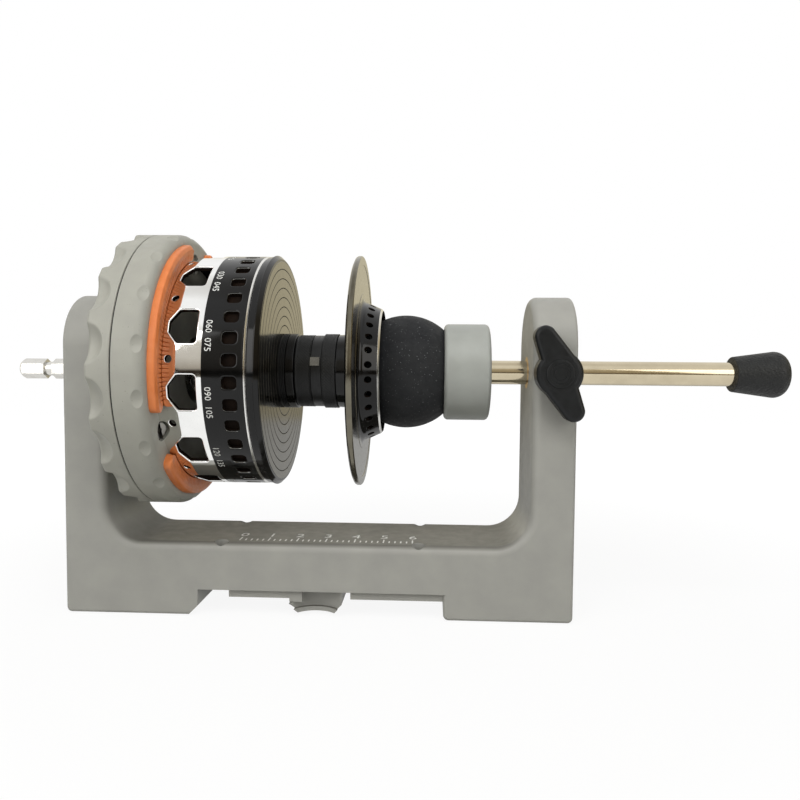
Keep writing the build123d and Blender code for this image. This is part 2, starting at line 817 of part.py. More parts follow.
def make_cam_clip():
    inner = hub_boss_radius - circlip_groove
    thickness = cam_ring_clip_thickness
    return open_clip(cam_clip_start, thickness, cam_ring_clip_radius, inner, cam_ring_clip_opening)


nodes["chuck_hub"] = on_axis * make_hub()
nodes["chuck_body"] = on_axis * make_chuck_body()
nodes["chuck_screws"] = [on_axis * screw for screw in chuck_screws()]
nodes["cam_ring"] = on_axis * make_cam_ring()
nodes["cam_friction_ring"] = on_axis * make_friction_ring()
nodes["cam_ring_clip"] = on_axis * make_cam_clip()
washer_end = hub_flange_front + washer_thickness
nodes["hub_washer"] = on_axis * ring(hub_flange_front, washer_end, washer_radius, spindle_thread_radius)
nodes["hub_nut"] = on_axis * (
    hex_bar(washer_end, washer_end + nut_thickness, nut_flats)
    - bar(washer_end - over, washer_end + nut_thickness + over, spindle_thread_radius)
)


# ------------------------------------------------------------ jaws
def jaw_outline():
    """Arc-shaped face of a jaw with rounded outer corners, centred straight up."""
    reach = 2 * chuck_radius
    side = reach * sin(radians(jaw_arc / 2))
    height = reach * cos(radians(jaw_arc / 2))
    sector = Polyline((0, 0), (side, height), (side, reach), (-side, reach), (-side, height), close=True)
    face = (Circle(jaw_outer_radius) - Circle(jaw_inner_radius)) & make_face(sector)
    corners = sorted(face.vertices(), key=lambda corner: hypot(corner.X, corner.Y))[-2:]
    return fillet(corners, jaw_end_round)


def make_jaw():
    plate = extrude(end_plane(chuck_face) * jaw_outline(), jaw_height)
    front_edges = plate.edges().group_by(Axis.X)[-1]
    middles = [(edge, edge @ 0.5) for edge in front_edges]
    grip_limit = jaw_inner_radius + jaw_bead_round
    bead_edges = [edge for edge, middle in middles if hypot(middle.Y, middle.Z) > grip_limit]
    plate = fillet(bead_edges, jaw_bead_round)
    tongue_bottom = slider_front - jaw_tongue_grip
    tongue = radial_slot(
        (tongue_bottom, chuck_face + jaw_height / 2),
        jaw_tongue_width,
        (jaw_inner_radius + running_gap, jaw_inner_radius + jaw_tongue_thickness),
    )
    return plate + tongue


def make_slider():
    outer = jaw_inner_radius + jaw_tongue_thickness + slider_nose
    back = hub_flange_front + running_gap
    slider = radial_slot((back, slider_front), jaw_tongue_width, (slider_inner_radius, outer))
    slider -= radial_slot(
        (slider_front - jaw_tongue_grip, slider_front + over),
        jaw_tongue_width + 2 * over,
        (jaw_inner_radius + running_gap, jaw_inner_radius + jaw_tongue_thickness),
    )
    return slider - off_axis_bar(hub_flange_front, back + pin_in_slider, pin_circle, pin_radius)


def make_pin():
    end = hub_flange_front + running_gap + pin_in_slider
    return off_axis_bar(cam_front - pin_in_cam, end, pin_circle, pin_radius)


for number, angle in enumerate(jaw_angles, start=1):
    nodes[f"jaw_{number}"] = on_axis * Rot(angle, 0, 0) * make_jaw()
    nodes[f"jaw_slider_{number}"] = on_axis * Rot(angle, 0, 0) * make_slider()
    nodes[f"cam_pin_{number}"] = on_axis * Rot(angle, 0, 0) * make_pin()


# ------------------------------------------------------------ reel spool
def wall_cutter(shape):
    """Cutting prism that runs radially through the skirt's or the band's wall."""
    return Pos(0, 0, spool_radius - skirt_wall - over) * extrude(shape, skirt_wall + 2 * over)


def window_cutter():
    """Skirt window: square towards the band, tapered towards the chuck."""
    start = chuck_face + window_start
    end = start + window_length
    half = window_width / 2
    nose = window_nose_width / 2
    shape = FilletPolyline(
        (start, -nose),
        (start + window_nose_length, -half),
        (end, -half),
        (end, half),
        (start + window_nose_length, half),
        (start, nose),
        radius=window_corner,
        close=True,
    )
    return wall_cutter(make_face(shape))


def make_skirt():
    skirt = ring(chuck_face, band_start, spool_radius, spool_radius - skirt_wall)
    skirt -= copies(window_cutter(), even_angles(window_count, window_phase))
    hole = wall_cutter(Pos(chuck_face + drain_hole_start, 0, 0) * Circle(drain_hole_radius))
    half_step = 180 / window_count
    return skirt - copies(hole, even_angles(window_count, window_phase + half_step))


def make_band():
    band = ring(band_start, rim_start, spool_radius, spool_radius - skirt_wall)
    x = band_start + band_slot_start + band_slot_length / 2
    slot_shape = Pos(x, 0, 0) * RectangleRounded(band_slot_length, band_slot_width, band_slot_corner)
    return band - copies(wall_cutter(slot_shape), even_angles(band_slot_count, band_slot_phase))


def make_rear_flange():
    """Metal flange with a thick rim, a thin web and a register in the band."""
    inner = spool_radius - skirt_wall
    return turned(
        (rim_start - flange_register, inner),
        (rim_start, inner),
        (rim_start, spool_radius),
        (rear_flange_face - rim_bevel, rim_radius),
        (rear_flange_face, rim_radius - rim_bevel),
        (rear_flange_face, arbor_radius),
        (rear_flange_face - flange_web, arbor_radius),
        (rear_flange_face - flange_web, inner - skirt_wall),
        (rim_start - flange_register, inner - skirt_wall),
    )


def make_arbor():
    start = rear_flange_face - arbor_tail
    return ring(start, front_flange_face, arbor_radius, arbor_bore)


def make_front_flange():
    return turned(
        (front_flange_start, arbor_radius),
        (front_flange_start, front_flange_radius - front_flange_bevel),
        (front_flange_start + front_flange_bevel, front_flange_radius),
        (front_flange_face, front_flange_radius),
        (front_flange_face, arbor_radius),
    )


def ball_seat_radius(x):
    """Radius at x of the clear space around the ball."""
    reach = ball_radius + cup_seat_gap
    return sqrt(reach**2 - (ball_x - x) ** 2)


def make_cup():
    foot_end = front_flange_face + cup_foot_thickness
    floor = ball_x - ball_flat - cup_seat_gap
    cup = turned(
        (front_flange_face, arbor_bore),
        (front_flange_face, cup_foot_radius),
        (foot_end, cup_foot_radius),
        (foot_end, cup_base_radius),
        (cup_mouth, cup_mouth_radius),
        (cup_mouth, ball_seat_radius(cup_mouth)),
        (floor, ball_seat_radius(floor)),
        (floor, arbor_bore),
    )
    middle = Pos((foot_end + cup_mouth) / 2, 0, (cup_base_radius + cup_mouth_radius) / 2)
    lean = degrees(asin((cup_base_radius - cup_mouth_radius) / (cup_mouth - foot_end)))
    hole = middle * Rot(0, lean, 0) * Cylinder(cup_hole_radius, cup_hole_length)
    return cup - copies(hole, even_angles(cup_hole_count))


def make_sleeve(start, length, radius):
    return ring(rear_flange_face + start, rear_flange_face + start + length, radius, arbor_radius)


def make_line_clip():
    start = rear_flange_face + clip_start
    clip = radial_slot((start, start + clip_length), clip_width, (0, arbor_radius + clip_height))
    clip -= bar(start - over, start + clip_length + over, arbor_radius)
    return Rot(clip_angle, 0, 0) * clip


nodes["spool_skirt"] = on_axis * make_skirt()
nodes["spool_band"] = on_axis * make_band()
nodes["spool_rear_flange"] = on_axis * make_rear_flange()
nodes["spool_arbor"] = on_axis * make_arbor()
nodes["arbor_rib_sleeve"] = on_axis * make_sleeve(0, rib_sleeve_length, sleeve_radius)
nodes["arbor_knurl_sleeve"] = on_axis * make_sleeve(knurl_sleeve_start, knurl_sleeve_length, sleeve_radius)
nodes["line_clip"] = on_axis * make_line_clip()
nodes["spool_front_flange"] = on_axis * make_front_flange()
nodes["drag_cup"] = on_axis * make_cup()


# ------------------------------------------------------------ tail
def make_ball():
    ball = Pos(ball_x, 0, 0) * Sphere(ball_radius)
    ball &= bar(ball_x - ball_flat, collar_start, 2 * ball_radius)
    return ball - bar(collar_start - core_spigot_length, collar_start + over, core_spigot_radius)


def make_core():
    """Plug that holds the ball on the collar and hollows out round the rod's end."""
    plug_radius = tail_bearing_outer / 2
    spigot = bar(collar_start - core_spigot_length, collar_start + over, core_spigot_radius)
    plug = bar(collar_start, tail_bearing_start, plug_radius)
    return spigot + plug - bar(collar_start + core_front_wall, tail_bearing_start + over, core_hollow_radius)


def make_collar():
    bearing_radius = tail_bearing_outer / 2
    return turned(
        (collar_start, bearing_radius),
        (collar_start, collar_radius),
        (collar_end, collar_radius),
        (collar_end, rod_radius + rod_hole_gap),
        (tail_bearing_end, rod_radius + rod_hole_gap),
        (tail_bearing_end, bearing_radius),
        rounds=[0, collar_round, collar_round, 0, 0, 0],
    )


def make_rod():
    journal = tail_bearing_bore / 2
    rod = turned(
        (rod_end, 0),
        (rod_end, journal),
        (tail_bearing_end, journal),
        (tail_bearing_end, rod_radius),
        (cap_start + cap_socket_depth, rod_radius),
        (cap_start + cap_socket_depth, 0),
    )
    return rod - bar(rod_end - over, rod_end + tail_screw_length, tail_screw_radius)


def make_tail_screw():
    place = Pos(tail_bearing_start - tail_washer_thickness, 0, 0) * Rot(0, -90, 0)
    length = tail_washer_thickness + rod_end_inset + tail_screw_length - screw_tip_gap
    return place * cap_screw(length, tail_screw_radius, tail_screw_head_radius, tail_screw_head_height)


def make_cap():
    """Tapered grip with a domed end on the rod."""
    cap = turned(
        (cap_start, 0),
        (cap_start, cap_small_radius),
        (cap_end, cap_large_radius),
        (cap_end, 0),
        rounds=[0, cap_edge_round, cap_dome_round, 0],
    )
    return cap - bar(cap_start - over, cap_start + cap_socket_depth, rod_radius)


tail_outer_ring, tail_inner_ring, tail_balls = bearing(
    tail_bearing_start, tail_bearing_bore, tail_bearing_outer, tail_bearing_width, tail_ball_count
)
nodes["pressure_ball"] = on_axis * make_ball()
nodes["ball_core"] = on_axis * make_core()
nodes["tail_collar"] = on_axis * make_collar()
nodes["tail_bearing_outer_ring"] = on_axis * tail_outer_ring
nodes["tail_bearing_inner_ring"] = on_axis * tail_inner_ring
nodes["tail_bearing_balls"] = [on_axis * ball for ball in tail_balls]
nodes["tail_rod"] = on_axis * make_rod()
nodes["tail_washer"] = on_axis * ring(
    tail_bearing_start - tail_washer_thickness, tail_bearing_start, tail_washer_radius, tail_screw_radius
)
nodes["tail_screw"] = on_axis * make_tail_screw()
nodes["rod_end_cap"] = on_axis * make_cap()


# ------------------------------------------------------------ clamp knob
def make_knob():
    """Wing knob: round hub and two wings, each straight along one side of the hub."""
    hub = Circle(knob_hub_radius)
    root = Pos(knob_wing_side, 0) * Circle(knob_wing_root_radius)
    end = Pos(knob_wing_side, knob_wing_reach) * Circle(knob_wing_end_radius)
    wing = make_hull([*root.edges(), *end.edges()])
    wings = wing + Rot(0, 0, 180) * wing
    front = Plane(origin=(knob_x, knob_back, axis_height), x_dir=(1, 0, 0), z_dir=(0, -1, 0))
    shape = Rot(0, 0, knob_lean) * wings
    lift = Pos(0, 0, knob_hub_height - knob_wing_height)
    recess_floor = Pos(0, 0, knob_hub_height - knob_cap_thickness)
    body = front * extrude(hub, knob_hub_height)
    body += front * (lift * extrude(shape, knob_wing_height - knob_wing_step))
    body -= front * (recess_floor * extrude(Circle(knob_cap_radius), knob_cap_thickness + over))
    return body - clamp_hole(stud_radius, knob_back - stud_in_knob, knob_back + over)


nodes["wing_knob"] = make_knob()
cap_back = knob_back - knob_hub_height + knob_cap_thickness
nodes["knob_cap"] = clamp_hole(knob_cap_radius, cap_back - knob_cap_thickness, cap_back)
stud = clamp_hole(stud_radius - stud_thread_gap, -half_depth - knob_gap, pad_back)
nodes["knob_stud"] = stud + clamp_hole(stud_radius, knob_back - stud_in_knob, knob_back)
nodes["clamp_pad"] = clamp_hole(stud_radius - stud_thread_gap, pad_back, pad_tip)


# ------------------------------------------------------------ save
os.makedirs("parts", exist_ok=True)
for name, shape in nodes.items():
    solid = Compound(children=list(shape)) if isinstance(shape, list) else shape
    export_step(solid, f"parts/{name}.step")
print(len(nodes), "nodes; overall length", overall_length)
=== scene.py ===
"""Looks of the fishing line winder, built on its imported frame.

Lengths are worked out in millimetres and put into the meshes in metres. X runs along the spindle
to the rod's cap, the clamp knob is on the -Y side, and Z is up. Angles about the spindle are
counted from straight up towards the front, where the knob is.
"""

import bmesh
import bpy
import numpy as np
from mathutils import Matrix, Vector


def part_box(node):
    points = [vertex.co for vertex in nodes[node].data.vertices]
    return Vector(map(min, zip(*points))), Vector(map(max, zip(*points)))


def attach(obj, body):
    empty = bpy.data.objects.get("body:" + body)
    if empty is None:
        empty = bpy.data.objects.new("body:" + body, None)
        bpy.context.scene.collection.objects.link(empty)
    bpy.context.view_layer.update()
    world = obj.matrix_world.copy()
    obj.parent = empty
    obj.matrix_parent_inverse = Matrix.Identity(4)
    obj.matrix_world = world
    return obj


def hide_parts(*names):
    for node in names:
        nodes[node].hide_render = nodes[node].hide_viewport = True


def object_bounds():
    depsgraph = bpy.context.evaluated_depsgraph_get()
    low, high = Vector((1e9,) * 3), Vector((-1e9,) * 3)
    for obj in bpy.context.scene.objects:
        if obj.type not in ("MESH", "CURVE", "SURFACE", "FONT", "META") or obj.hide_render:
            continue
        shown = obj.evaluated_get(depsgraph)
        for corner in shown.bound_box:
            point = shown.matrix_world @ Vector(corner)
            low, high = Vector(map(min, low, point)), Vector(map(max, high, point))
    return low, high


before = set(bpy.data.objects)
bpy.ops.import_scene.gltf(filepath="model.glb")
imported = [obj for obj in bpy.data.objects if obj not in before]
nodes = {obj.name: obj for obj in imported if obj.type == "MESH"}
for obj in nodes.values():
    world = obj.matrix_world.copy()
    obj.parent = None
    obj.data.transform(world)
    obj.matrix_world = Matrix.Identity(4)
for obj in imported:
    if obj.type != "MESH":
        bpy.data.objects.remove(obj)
cad_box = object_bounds()
MM = 0.001
TURN = 2 * np.pi


def span(node, axis):
    """Lowest and highest place of a CAD node along one axis, in millimetres."""
    low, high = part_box(node)
    return low[axis] / MM, high[axis] / MM


def radius(node):
    """Radius of a CAD node that lies round the spindle, half of its height."""
    low, high = span(node, 2)
    return (high - low) / 2


# ---------------------------------------------------------------- places taken from the frame
FACE_X = span("chuck_body", 0)[1]
JAW_FRONT = span("jaw_2", 0)[1]
RING_BACK, RING_FRONT = span("cam_ring", 0)
SKIRT_START, SKIRT_END = span("spool_skirt", 0)
BAND_START, BAND_END = span("spool_band", 0)
REAR_BACK, REAR_FACE = span("spool_rear_flange", 0)
ARBOR_START, ARBOR_END = span("spool_arbor", 0)
KNURL_START, KNURL_END = span("arbor_knurl_sleeve", 0)
FLANGE_BACK, FLANGE_FACE = span("spool_front_flange", 0)
CUP_MOUTH = span("drag_cup", 0)[1]
KNOB_X = sum(span("knob_stud", 0)) / 2
KNOB_FRONT, KNOB_BACK = span("wing_knob", 1)
STAND_FLOOR = span("frame_casting", 2)[0]
AXIS_Z = sum(span("spool_skirt", 2)) / 2
CHUCK_R = radius("chuck_body")
SPOOL_R = radius("spool_skirt")
RIM_R = radius("spool_rear_flange")
FLANGE_R = radius("spool_front_flange")
ARBOR_R = radius("spool_arbor")
SLEEVE_R = radius("arbor_rib_sleeve")


# ---------------------------------------------------------------- shapes
def around(x, r, a):
    """Point at x along the spindle, r from its axis and a radians round from straight up to the front."""
    x, r, a = np.broadcast_arrays(x, r, a)
    return np.stack([x, -r * np.sin(a), AXIS_Z + r * np.cos(a)], -1)


def rounded(corners, steps=5, hold=0.15, closed=True):
    """Outline through corners given as two coordinates and a fillet radius.

    Each corner becomes an arc: the turn of the first tangent point into the second about the arc's
    centre, with one holding point on the flat at each side. An open outline keeps its plain ends.
    """
    corners = np.array(corners, float)
    spot, fillet = corners[:, :2], corners[:, 2:]
    back, ahead = np.roll(spot, 1, 0) - spot, np.roll(spot, -1, 0) - spot
    back_len = np.linalg.norm(back, axis=1, keepdims=True)
    ahead_len = np.linalg.norm(ahead, axis=1, keepdims=True)
    back, ahead = back / back_len, ahead / ahead_len
    half = 0.5 * np.arccos(np.clip((back * ahead).sum(1, keepdims=True), -0.9999, 0.9999))
    reach = fillet / np.tan(half)
    middle = back + ahead
    middle /= np.maximum(np.linalg.norm(middle, axis=1, keepdims=True), 1e-9)
    centre = spot + middle * fillet / np.sin(half)
    turn = (np.pi - 2 * half)[:, None]
    s = np.linspace(0, 1, steps + 1)[None, :, None]
    first, last = (spot + back * reach - centre)[:, None], (spot + ahead * reach - centre)[:, None]
    arc = centre[:, None] + (np.sin((1 - s) * turn) * first + np.sin(s * turn) * last) / np.sin(turn)
    lead = spot + back * np.minimum(reach + hold, 0.5 * (reach + back_len))
    tail = spot + ahead * np.minimum(reach + hold, 0.5 * (reach + ahead_len))
    line = np.concatenate([lead[:, None], arc, tail[:, None]], 1)
    if closed:
        return line.reshape(-1, 2)
    return np.concatenate([spot[:1], line[1:-1].reshape(-1, 2), spot[-1:]])


def evenly(line, count):
    """Points at equal steps of length along a closed line."""
    line = np.concatenate([line, line[:1]])
    length = np.concatenate([[0], np.cumsum(np.linalg.norm(np.diff(line, axis=0), axis=1))])
    at = np.linspace(0, length[-1], count, endpoint=False)
    return np.stack([np.interp(at, length, line[:, k]) for k in range(line.shape[1])], -1)


def finer(line, step):
    """The same line with extra points, so that no run is longer than step."""
    run = np.linalg.norm(np.diff(line, axis=0), axis=1)
    parts = [
        np.linspace(a, b, max(1, int(np.ceil(length / step))), endpoint=False)
        for a, b, length in zip(line[:-1], line[1:], run)
    ]
    return np.concatenate(parts + [line[-1:]])


def circle(middle, across, along, count):
    """Closed line of an ellipse: its middle and half its size in both directions."""
    turn = np.arange(count) * TURN / count
    return np.stack([middle + across * np.cos(turn), along * np.sin(turn)], -1)


def quads(rows, cols, close_rows, close_cols):
    """Corner numbers of the faces of a grid."""
    i, j = np.meshgrid(
        np.arange(rows if close_rows else rows - 1),
        np.arange(cols if close_cols else cols - 1),
        indexing="ij",
    )
    below, beside = (i + 1) % rows, (j + 1) % cols
    corners = [i * cols + j, i * cols + beside, below * cols + beside, below * cols + j]
    return np.stack(corners, -1).reshape(-1, 4)


def put(name, data):
    """Object of some data, in the scene."""
    thing = bpy.data.objects.new(name, data)
    bpy.context.scene.collection.objects.link(thing)
    return thing


def make_piece(name, grids, body, replaced, finishes, pick=None, sharp=38):
    """One mesh from point grids, welded, turned outwards and shaded smooth up to the sharp angle.

    A grid is its points and whether its rows and its columns close. pick gives the number of each
    face's finish from the faces' middles in millimetres.
    """
    weld = 0.003 * MM
    points = [grid[0].reshape(-1, 3) for grid in grids]
    starts = np.cumsum([0] + [len(p) for p in points])
    faces = [quads(*grid[0].shape[:2], grid[1], grid[2]) + start for grid, start in zip(grids, starts)]
    mesh = bpy.data.meshes.new(name)
    mesh.from_pydata(np.concatenate(points) * MM, [], np.concatenate(faces))
    shell = bmesh.new()
    shell.from_mesh(mesh)
    bmesh.ops.remove_doubles(shell, verts=shell.verts, dist=weld)
    bmesh.ops.recalc_face_normals(shell, faces=shell.faces)
    shell.to_mesh(mesh)
    shell.free()
    mesh.shade_smooth()
    mesh.set_sharp_from_angle(angle=np.radians(sharp))
    for finish in finishes:
        mesh.materials.append(finish)
    if pick is not None:
        centres = np.empty(len(mesh.polygons) * 3)
        mesh.polygons.foreach_get("center", centres)
        numbers = pick(centres.reshape(-1, 3) / MM).astype(np.int32)
        mesh.polygons.foreach_set("material_index", numbers)
    piece = put(name, mesh)
    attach(piece, body)
    if replaced:
        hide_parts(*replaced)


def turned(line, count):
    """Grid of a closed outline in x and radius carried round the spindle."""
    angle = np.arange(count) * TURN / count
    return around(line[:, :1], line[:, 1:], angle[None, :]), True, True


def radius_of(points):
    """Distance of points from the spindle's axis."""
    return np.hypot(points[:, 1], points[:, 2] - AXIS_Z)


def matched_loop(loop, corners, aims, counts):
    """Points of a box's edge and, in step with them, points of a closed loop inside it.

    The loop is cut where the aims lie seen from its middle, and each part gets as many points as the
    run of the box's edge between two corners, at equal steps of length.
    """
    corners = np.array(corners, float)
    edge = np.concatenate(
        [np.linspace(a, b, n, endpoint=False) for a, b, n in zip(corners, np.roll(corners, -1, 0), counts)]
    )
    dense = evenly(loop, 1600)
    middle = (dense.max(0) + dense.min(0)) / 2
    angle = np.arctan2(*(dense - middle)[:, ::-1].T)
    order = np.argsort(angle)
    dense, angle = dense[order], angle[order]
    length = np.concatenate([[0], np.cumsum(np.linalg.norm(np.diff(dense, axis=0), axis=1))])
    whole = length[-1] + np.linalg.norm(dense[0] - dense[-1])
    cut = np.arctan2(*(np.array(aims, float) - middle)[:, ::-1].T)
    cut_at = np.interp(cut, np.append(angle, angle[0] + TURN), np.append(length, whole))
    cut_at = np.append(cut_at, cut_at[0] + whole)
    runs = [np.linspace(cut_at[k], cut_at[k + 1], n, endpoint=False) for k, n in enumerate(counts)]
    at = np.concatenate(runs) % whole
    length = np.append(length, whole)
    ring = np.stack([np.interp(at, length, np.append(dense[:, k], dense[0, k])) for k in (0, 1)], -1)
    return edge, ring


def hole_cell(loop, corners, aims, counts, bevel, wall, steps=6):
    """Layers of points of a wall's cell with a rounded-over hole, each point as place, side and depth.

    From the cell's edge the outer face runs to the hole, over a quarter circle and through the wall,
    and the inner face runs back to the cell's edge.
    """
    edge, ring = matched_loop(loop, corners, aims, counts)
    slope = np.roll(ring, -1, 0) - np.roll(ring, 1, 0)
    slope /= np.linalg.norm(slope, axis=1, keepdims=True)
    out = ring + bevel * np.stack([slope[:, 1], -slope[:, 0]], -1)
    share = np.append(np.linspace(0, 0.9, steps), [0.97, 1])[:, None, None]
    face = edge + (out - edge) * share
    turn = np.linspace(0, 1, 8)[1:, None, None] * np.pi / 2
    over = ring + (out - ring) * (1 - np.sin(turn))
    flat = np.concatenate([face, over, [ring], edge + (ring - edge) * share[::-1]])
    depth = np.concatenate(
        [np.zeros(len(face)), bevel * (1 - np.cos(turn[:, 0, 0])), [wall], np.full(len(share), wall)]
    )
    depth = np.broadcast_to(depth[:, None, None], (*flat.shape[:2], 1))
    return np.concatenate([flat, depth], -1)


def box_corners(length, side):
    """Corners of a cell that runs along the spindle from 0 and is twice the side wide."""
    return [(0, -side), (length, -side), (length, side), (0, side)]


def bent(cell, start, outer, middle):
    """Grid of a cell laid on the spool: place runs along the spindle, side round it, depth inwards."""
    x = start + cell[..., 0]
    return around(x, outer(x) - cell[..., 2], middle + cell[..., 1] / SPOOL_R), False, True


# ---------------------------------------------------------------- finishes
def shade(hex_color):
    """Linear colour of a screen colour written as six hex digits."""
    value = np.array([int(hex_color[k : k + 2], 16) for k in (0, 2, 4)]) / 255
    return (*np.where(value <= 0.04045, value / 12.92, ((value + 0.055) / 1.055) ** 2.4), 1.0)


class Nodes:
    """A node tree with short ways to add nodes and to join them."""

    def __init__(self, tree):
        self.tree = tree

    def add(self, kind, **settings):
        node = self.tree.nodes.new(kind)
        for key, value in settings.items():
            setattr(node, key, value)
        return node

    def join(self, source, target):
        self.tree.links.new(source, target)

    def fed(self, kind, *sources, **settings):
        """First output of a new node whose inputs are joined to the sources in their order."""
        node = self.add(kind, **settings)
        for source, socket in zip(sources, node.inputs):
            self.join(source, socket)
        return node.outputs[0]

    def part(self, source, letter):
        """One coordinate of a vector."""
        node = self.add("ShaderNodeSeparateXYZ")
        self.join(source, node.inputs[0])
        return node.outputs[letter]

    def ranged(self, source, low, high, bottom=0, top=1):
        """The run from low to high made the run from bottom to top."""
        node = self.add("ShaderNodeMapRange")
        for key, value in zip(("From Min", "From Max", "To Min", "To Max"), (low, high, bottom, top)):
            node.inputs[key].default_value = value
        self.join(source, node.inputs["Value"])
        return node.outputs["Result"]

    def mixed(self, factor, first, second):
        """Colour between two, each a screen colour or an output."""
        node = self.add("ShaderNodeMix", data_type="RGBA")
        self.join(factor, node.inputs[0])
        for value, socket in ((first, node.inputs[6]), (second, node.inputs[7])):
            if isinstance(value, str):
                socket.default_value = shade(value)
            else:
                self.join(value, socket)
        return node.outputs[2]


class Finish(Nodes):
    """A material whose patterns read Object coordinates."""

    def __init__(self, name, color, rough, **sockets):
        self.material = bpy.data.materials.new(name)
        self.material.use_nodes = True
        super().__init__(self.material.node_tree)
        self.shader = self.tree.nodes["Principled BSDF"]
        self.shader.inputs["Base Color"].default_value = shade(color)
        self.shader.inputs["Roughness"].default_value = rough
        for socket, value in sockets.items():
            self.shader.inputs[socket.replace("_", " ")].default_value = value
        self.place = self.add("ShaderNodeTexCoord").outputs["Object"]

    def noise(self, size, detail=2.0, stretch=None):
        """Noise whose blotches are about size millimetres."""
        node = self.add("ShaderNodeTexNoise")
        node.inputs["Scale"].default_value = 1 / (size * MM)
        node.inputs["Detail"].default_value = detail
        place = self.place
        if stretch is not None:
            mapping = self.add("ShaderNodeMapping")
            mapping.inputs["Scale"].default_value = stretch
            self.join(place, mapping.inputs["Vector"])
            place = mapping.outputs["Vector"]
        self.join(place, node.inputs["Vector"])
        return node.outputs["Fac"]

    def drift(self, first, second, size, detail=3.0):
        """Colour that drifts between two shades over blotches of a size."""
        return self.mixed(self.ranged(self.noise(size, detail), 0.3, 0.7), first, second)

    def color(self, output):
        self.join(output, self.shader.inputs["Base Color"])
        return self

    def mottle(self, first, second, size):
        return self.color(self.drift(first, second, size))

    def specks(self, size, low, high, ground, tone):
        """Small specks of a tone where a fine noise is high."""
        return self.color(self.mixed(self.ranged(self.noise(size, 1.0), low, high), ground, tone))

    def wear(self, size, low, high, stretch=None):
        """Roughness that drifts between two values."""
        source = self.noise(size, 3.0, stretch)
        self.join(self.ranged(source, 0.3, 0.7, low, high), self.shader.inputs["Roughness"])
        return self

    def bump(self, source, height, strength):
        """Relief of a height in millimetres from a pattern."""
        node = self.add("ShaderNodeBump")
        node.inputs["Distance"].default_value = height * MM
        node.inputs["Strength"].default_value = strength
        self.join(source, node.inputs["Height"])
        last = self.shader.inputs["Normal"]
        if last.is_linked:
            self.join(last.links[0].from_socket, node.inputs["Normal"])
        self.join(node.outputs["Normal"], last)
        return self

    def grain(self, size, height, strength, detail=2.0, stretch=None):
        """Fine relief of noise."""
        return self.bump(self.noise(size, detail, stretch), height, strength)


def stand_finish():
    """Grey casting enamel with painted shade: low faces that look up, the flat top of the bed under the spool,
    are mixed towards a darker grey.
    """
    f = Finish("stand_grey", "94938c", 0.46, Specular_IOR_Level=0.25)
    low = f.ranged(f.part(f.place, "Z"), 0.027, 0.040, 1, 0)
    facing = f.add("ShaderNodeNewGeometry").outputs["Normal"]
    flat = f.ranged(f.part(facing, "Z"), 0.55, 0.95, 0, 0.8)
    # painted shade: the bed's upward-facing top is darkened where the spool above shades it
    painted_bed_shade = f.fed("ShaderNodeMath", low, flat, operation="MULTIPLY")
    f.color(f.mixed(painted_bed_shade, f.drift("91908a", "989790", 9.0), "58564e"))
    return f.wear(3.0, 0.40, 0.52).grain(0.45, 0.03, 0.35, 3.0).material


def chuck_finish():
    """The same enamel with fine dark specks."""
    f = Finish("chuck_grey", "96958c", 0.5, Specular_IOR_Level=0.35)
    f.specks(0.5, 0.74, 0.78, f.drift("94938a", "9b9a90", 8.0, 2.0), "7c7b73")
    return f.wear(2.5, 0.42, 0.56).grain(0.5, 0.03, 0.35, 3.0).material


def ball_finish():
    """Charcoal rubber with fine pale specks."""
    f = Finish("ball_rubber", "191a1b", 0.66, Specular_IOR_Level=0.25)
    f.specks(0.42, 0.725, 0.76, f.drift("17181a", "1f2021", 7.0, 2.0), "7b7d7e")
    return f.wear(2.0, 0.58, 0.74).grain(0.5, 0.08, 0.6, 4.0).material


def cap_finish():
    """Black moulding with a coarse leather grain of cells."""
    f = Finish("cap_black", "161717", 0.55, Specular_IOR_Level=0.35)
    cells = f.add("ShaderNodeTexVoronoi", feature="SMOOTH_F1")
    cells.inputs["Scale"].default_value = 1 / (0.75 * MM)
    f.join(f.place, cells.inputs["Vector"])
    f.mottle("131414", "1c1d1c", 2.0)
    return f.wear(1.0, 0.42, 0.6).bump(cells.outputs["Distance"], 0.26, 1.0).grain(0.35, 0.05, 0.5).material


def coat(name, color, rough, level, mottle, wear, grain):
    """Plastic or enamel: colour, roughness, mirror level, and what its three patterns are given."""
    f = Finish(name, color, rough, Specular_IOR_Level=level)
    return f.mottle(*mottle).wear(*wear).grain(*grain).material


def black_metal(name, low, high):
    """Black metal, turned about the spindle, between two roughnesses."""
    wear = (3.0, low, high, (6, 1, 1))
    return coat(name, "0c0c0c", low, 0.35, ("0a0b0b", "101111", 4.0), wear, (0.4, 0.01, 0.3))


def metal(name, color, second, rough, spread, size=4.0, stretch=(1, 1, 1), scratch=0.3):
    """Bare metal with faint scratches, stretched along the turning marks."""
    f = Finish(name, color, rough, Metallic=1.0)
    f.mottle(color, second, size)
    return f.wear(1.2, rough, rough + spread, stretch).grain(0.35, 0.004, scratch, 3.0, stretch).material


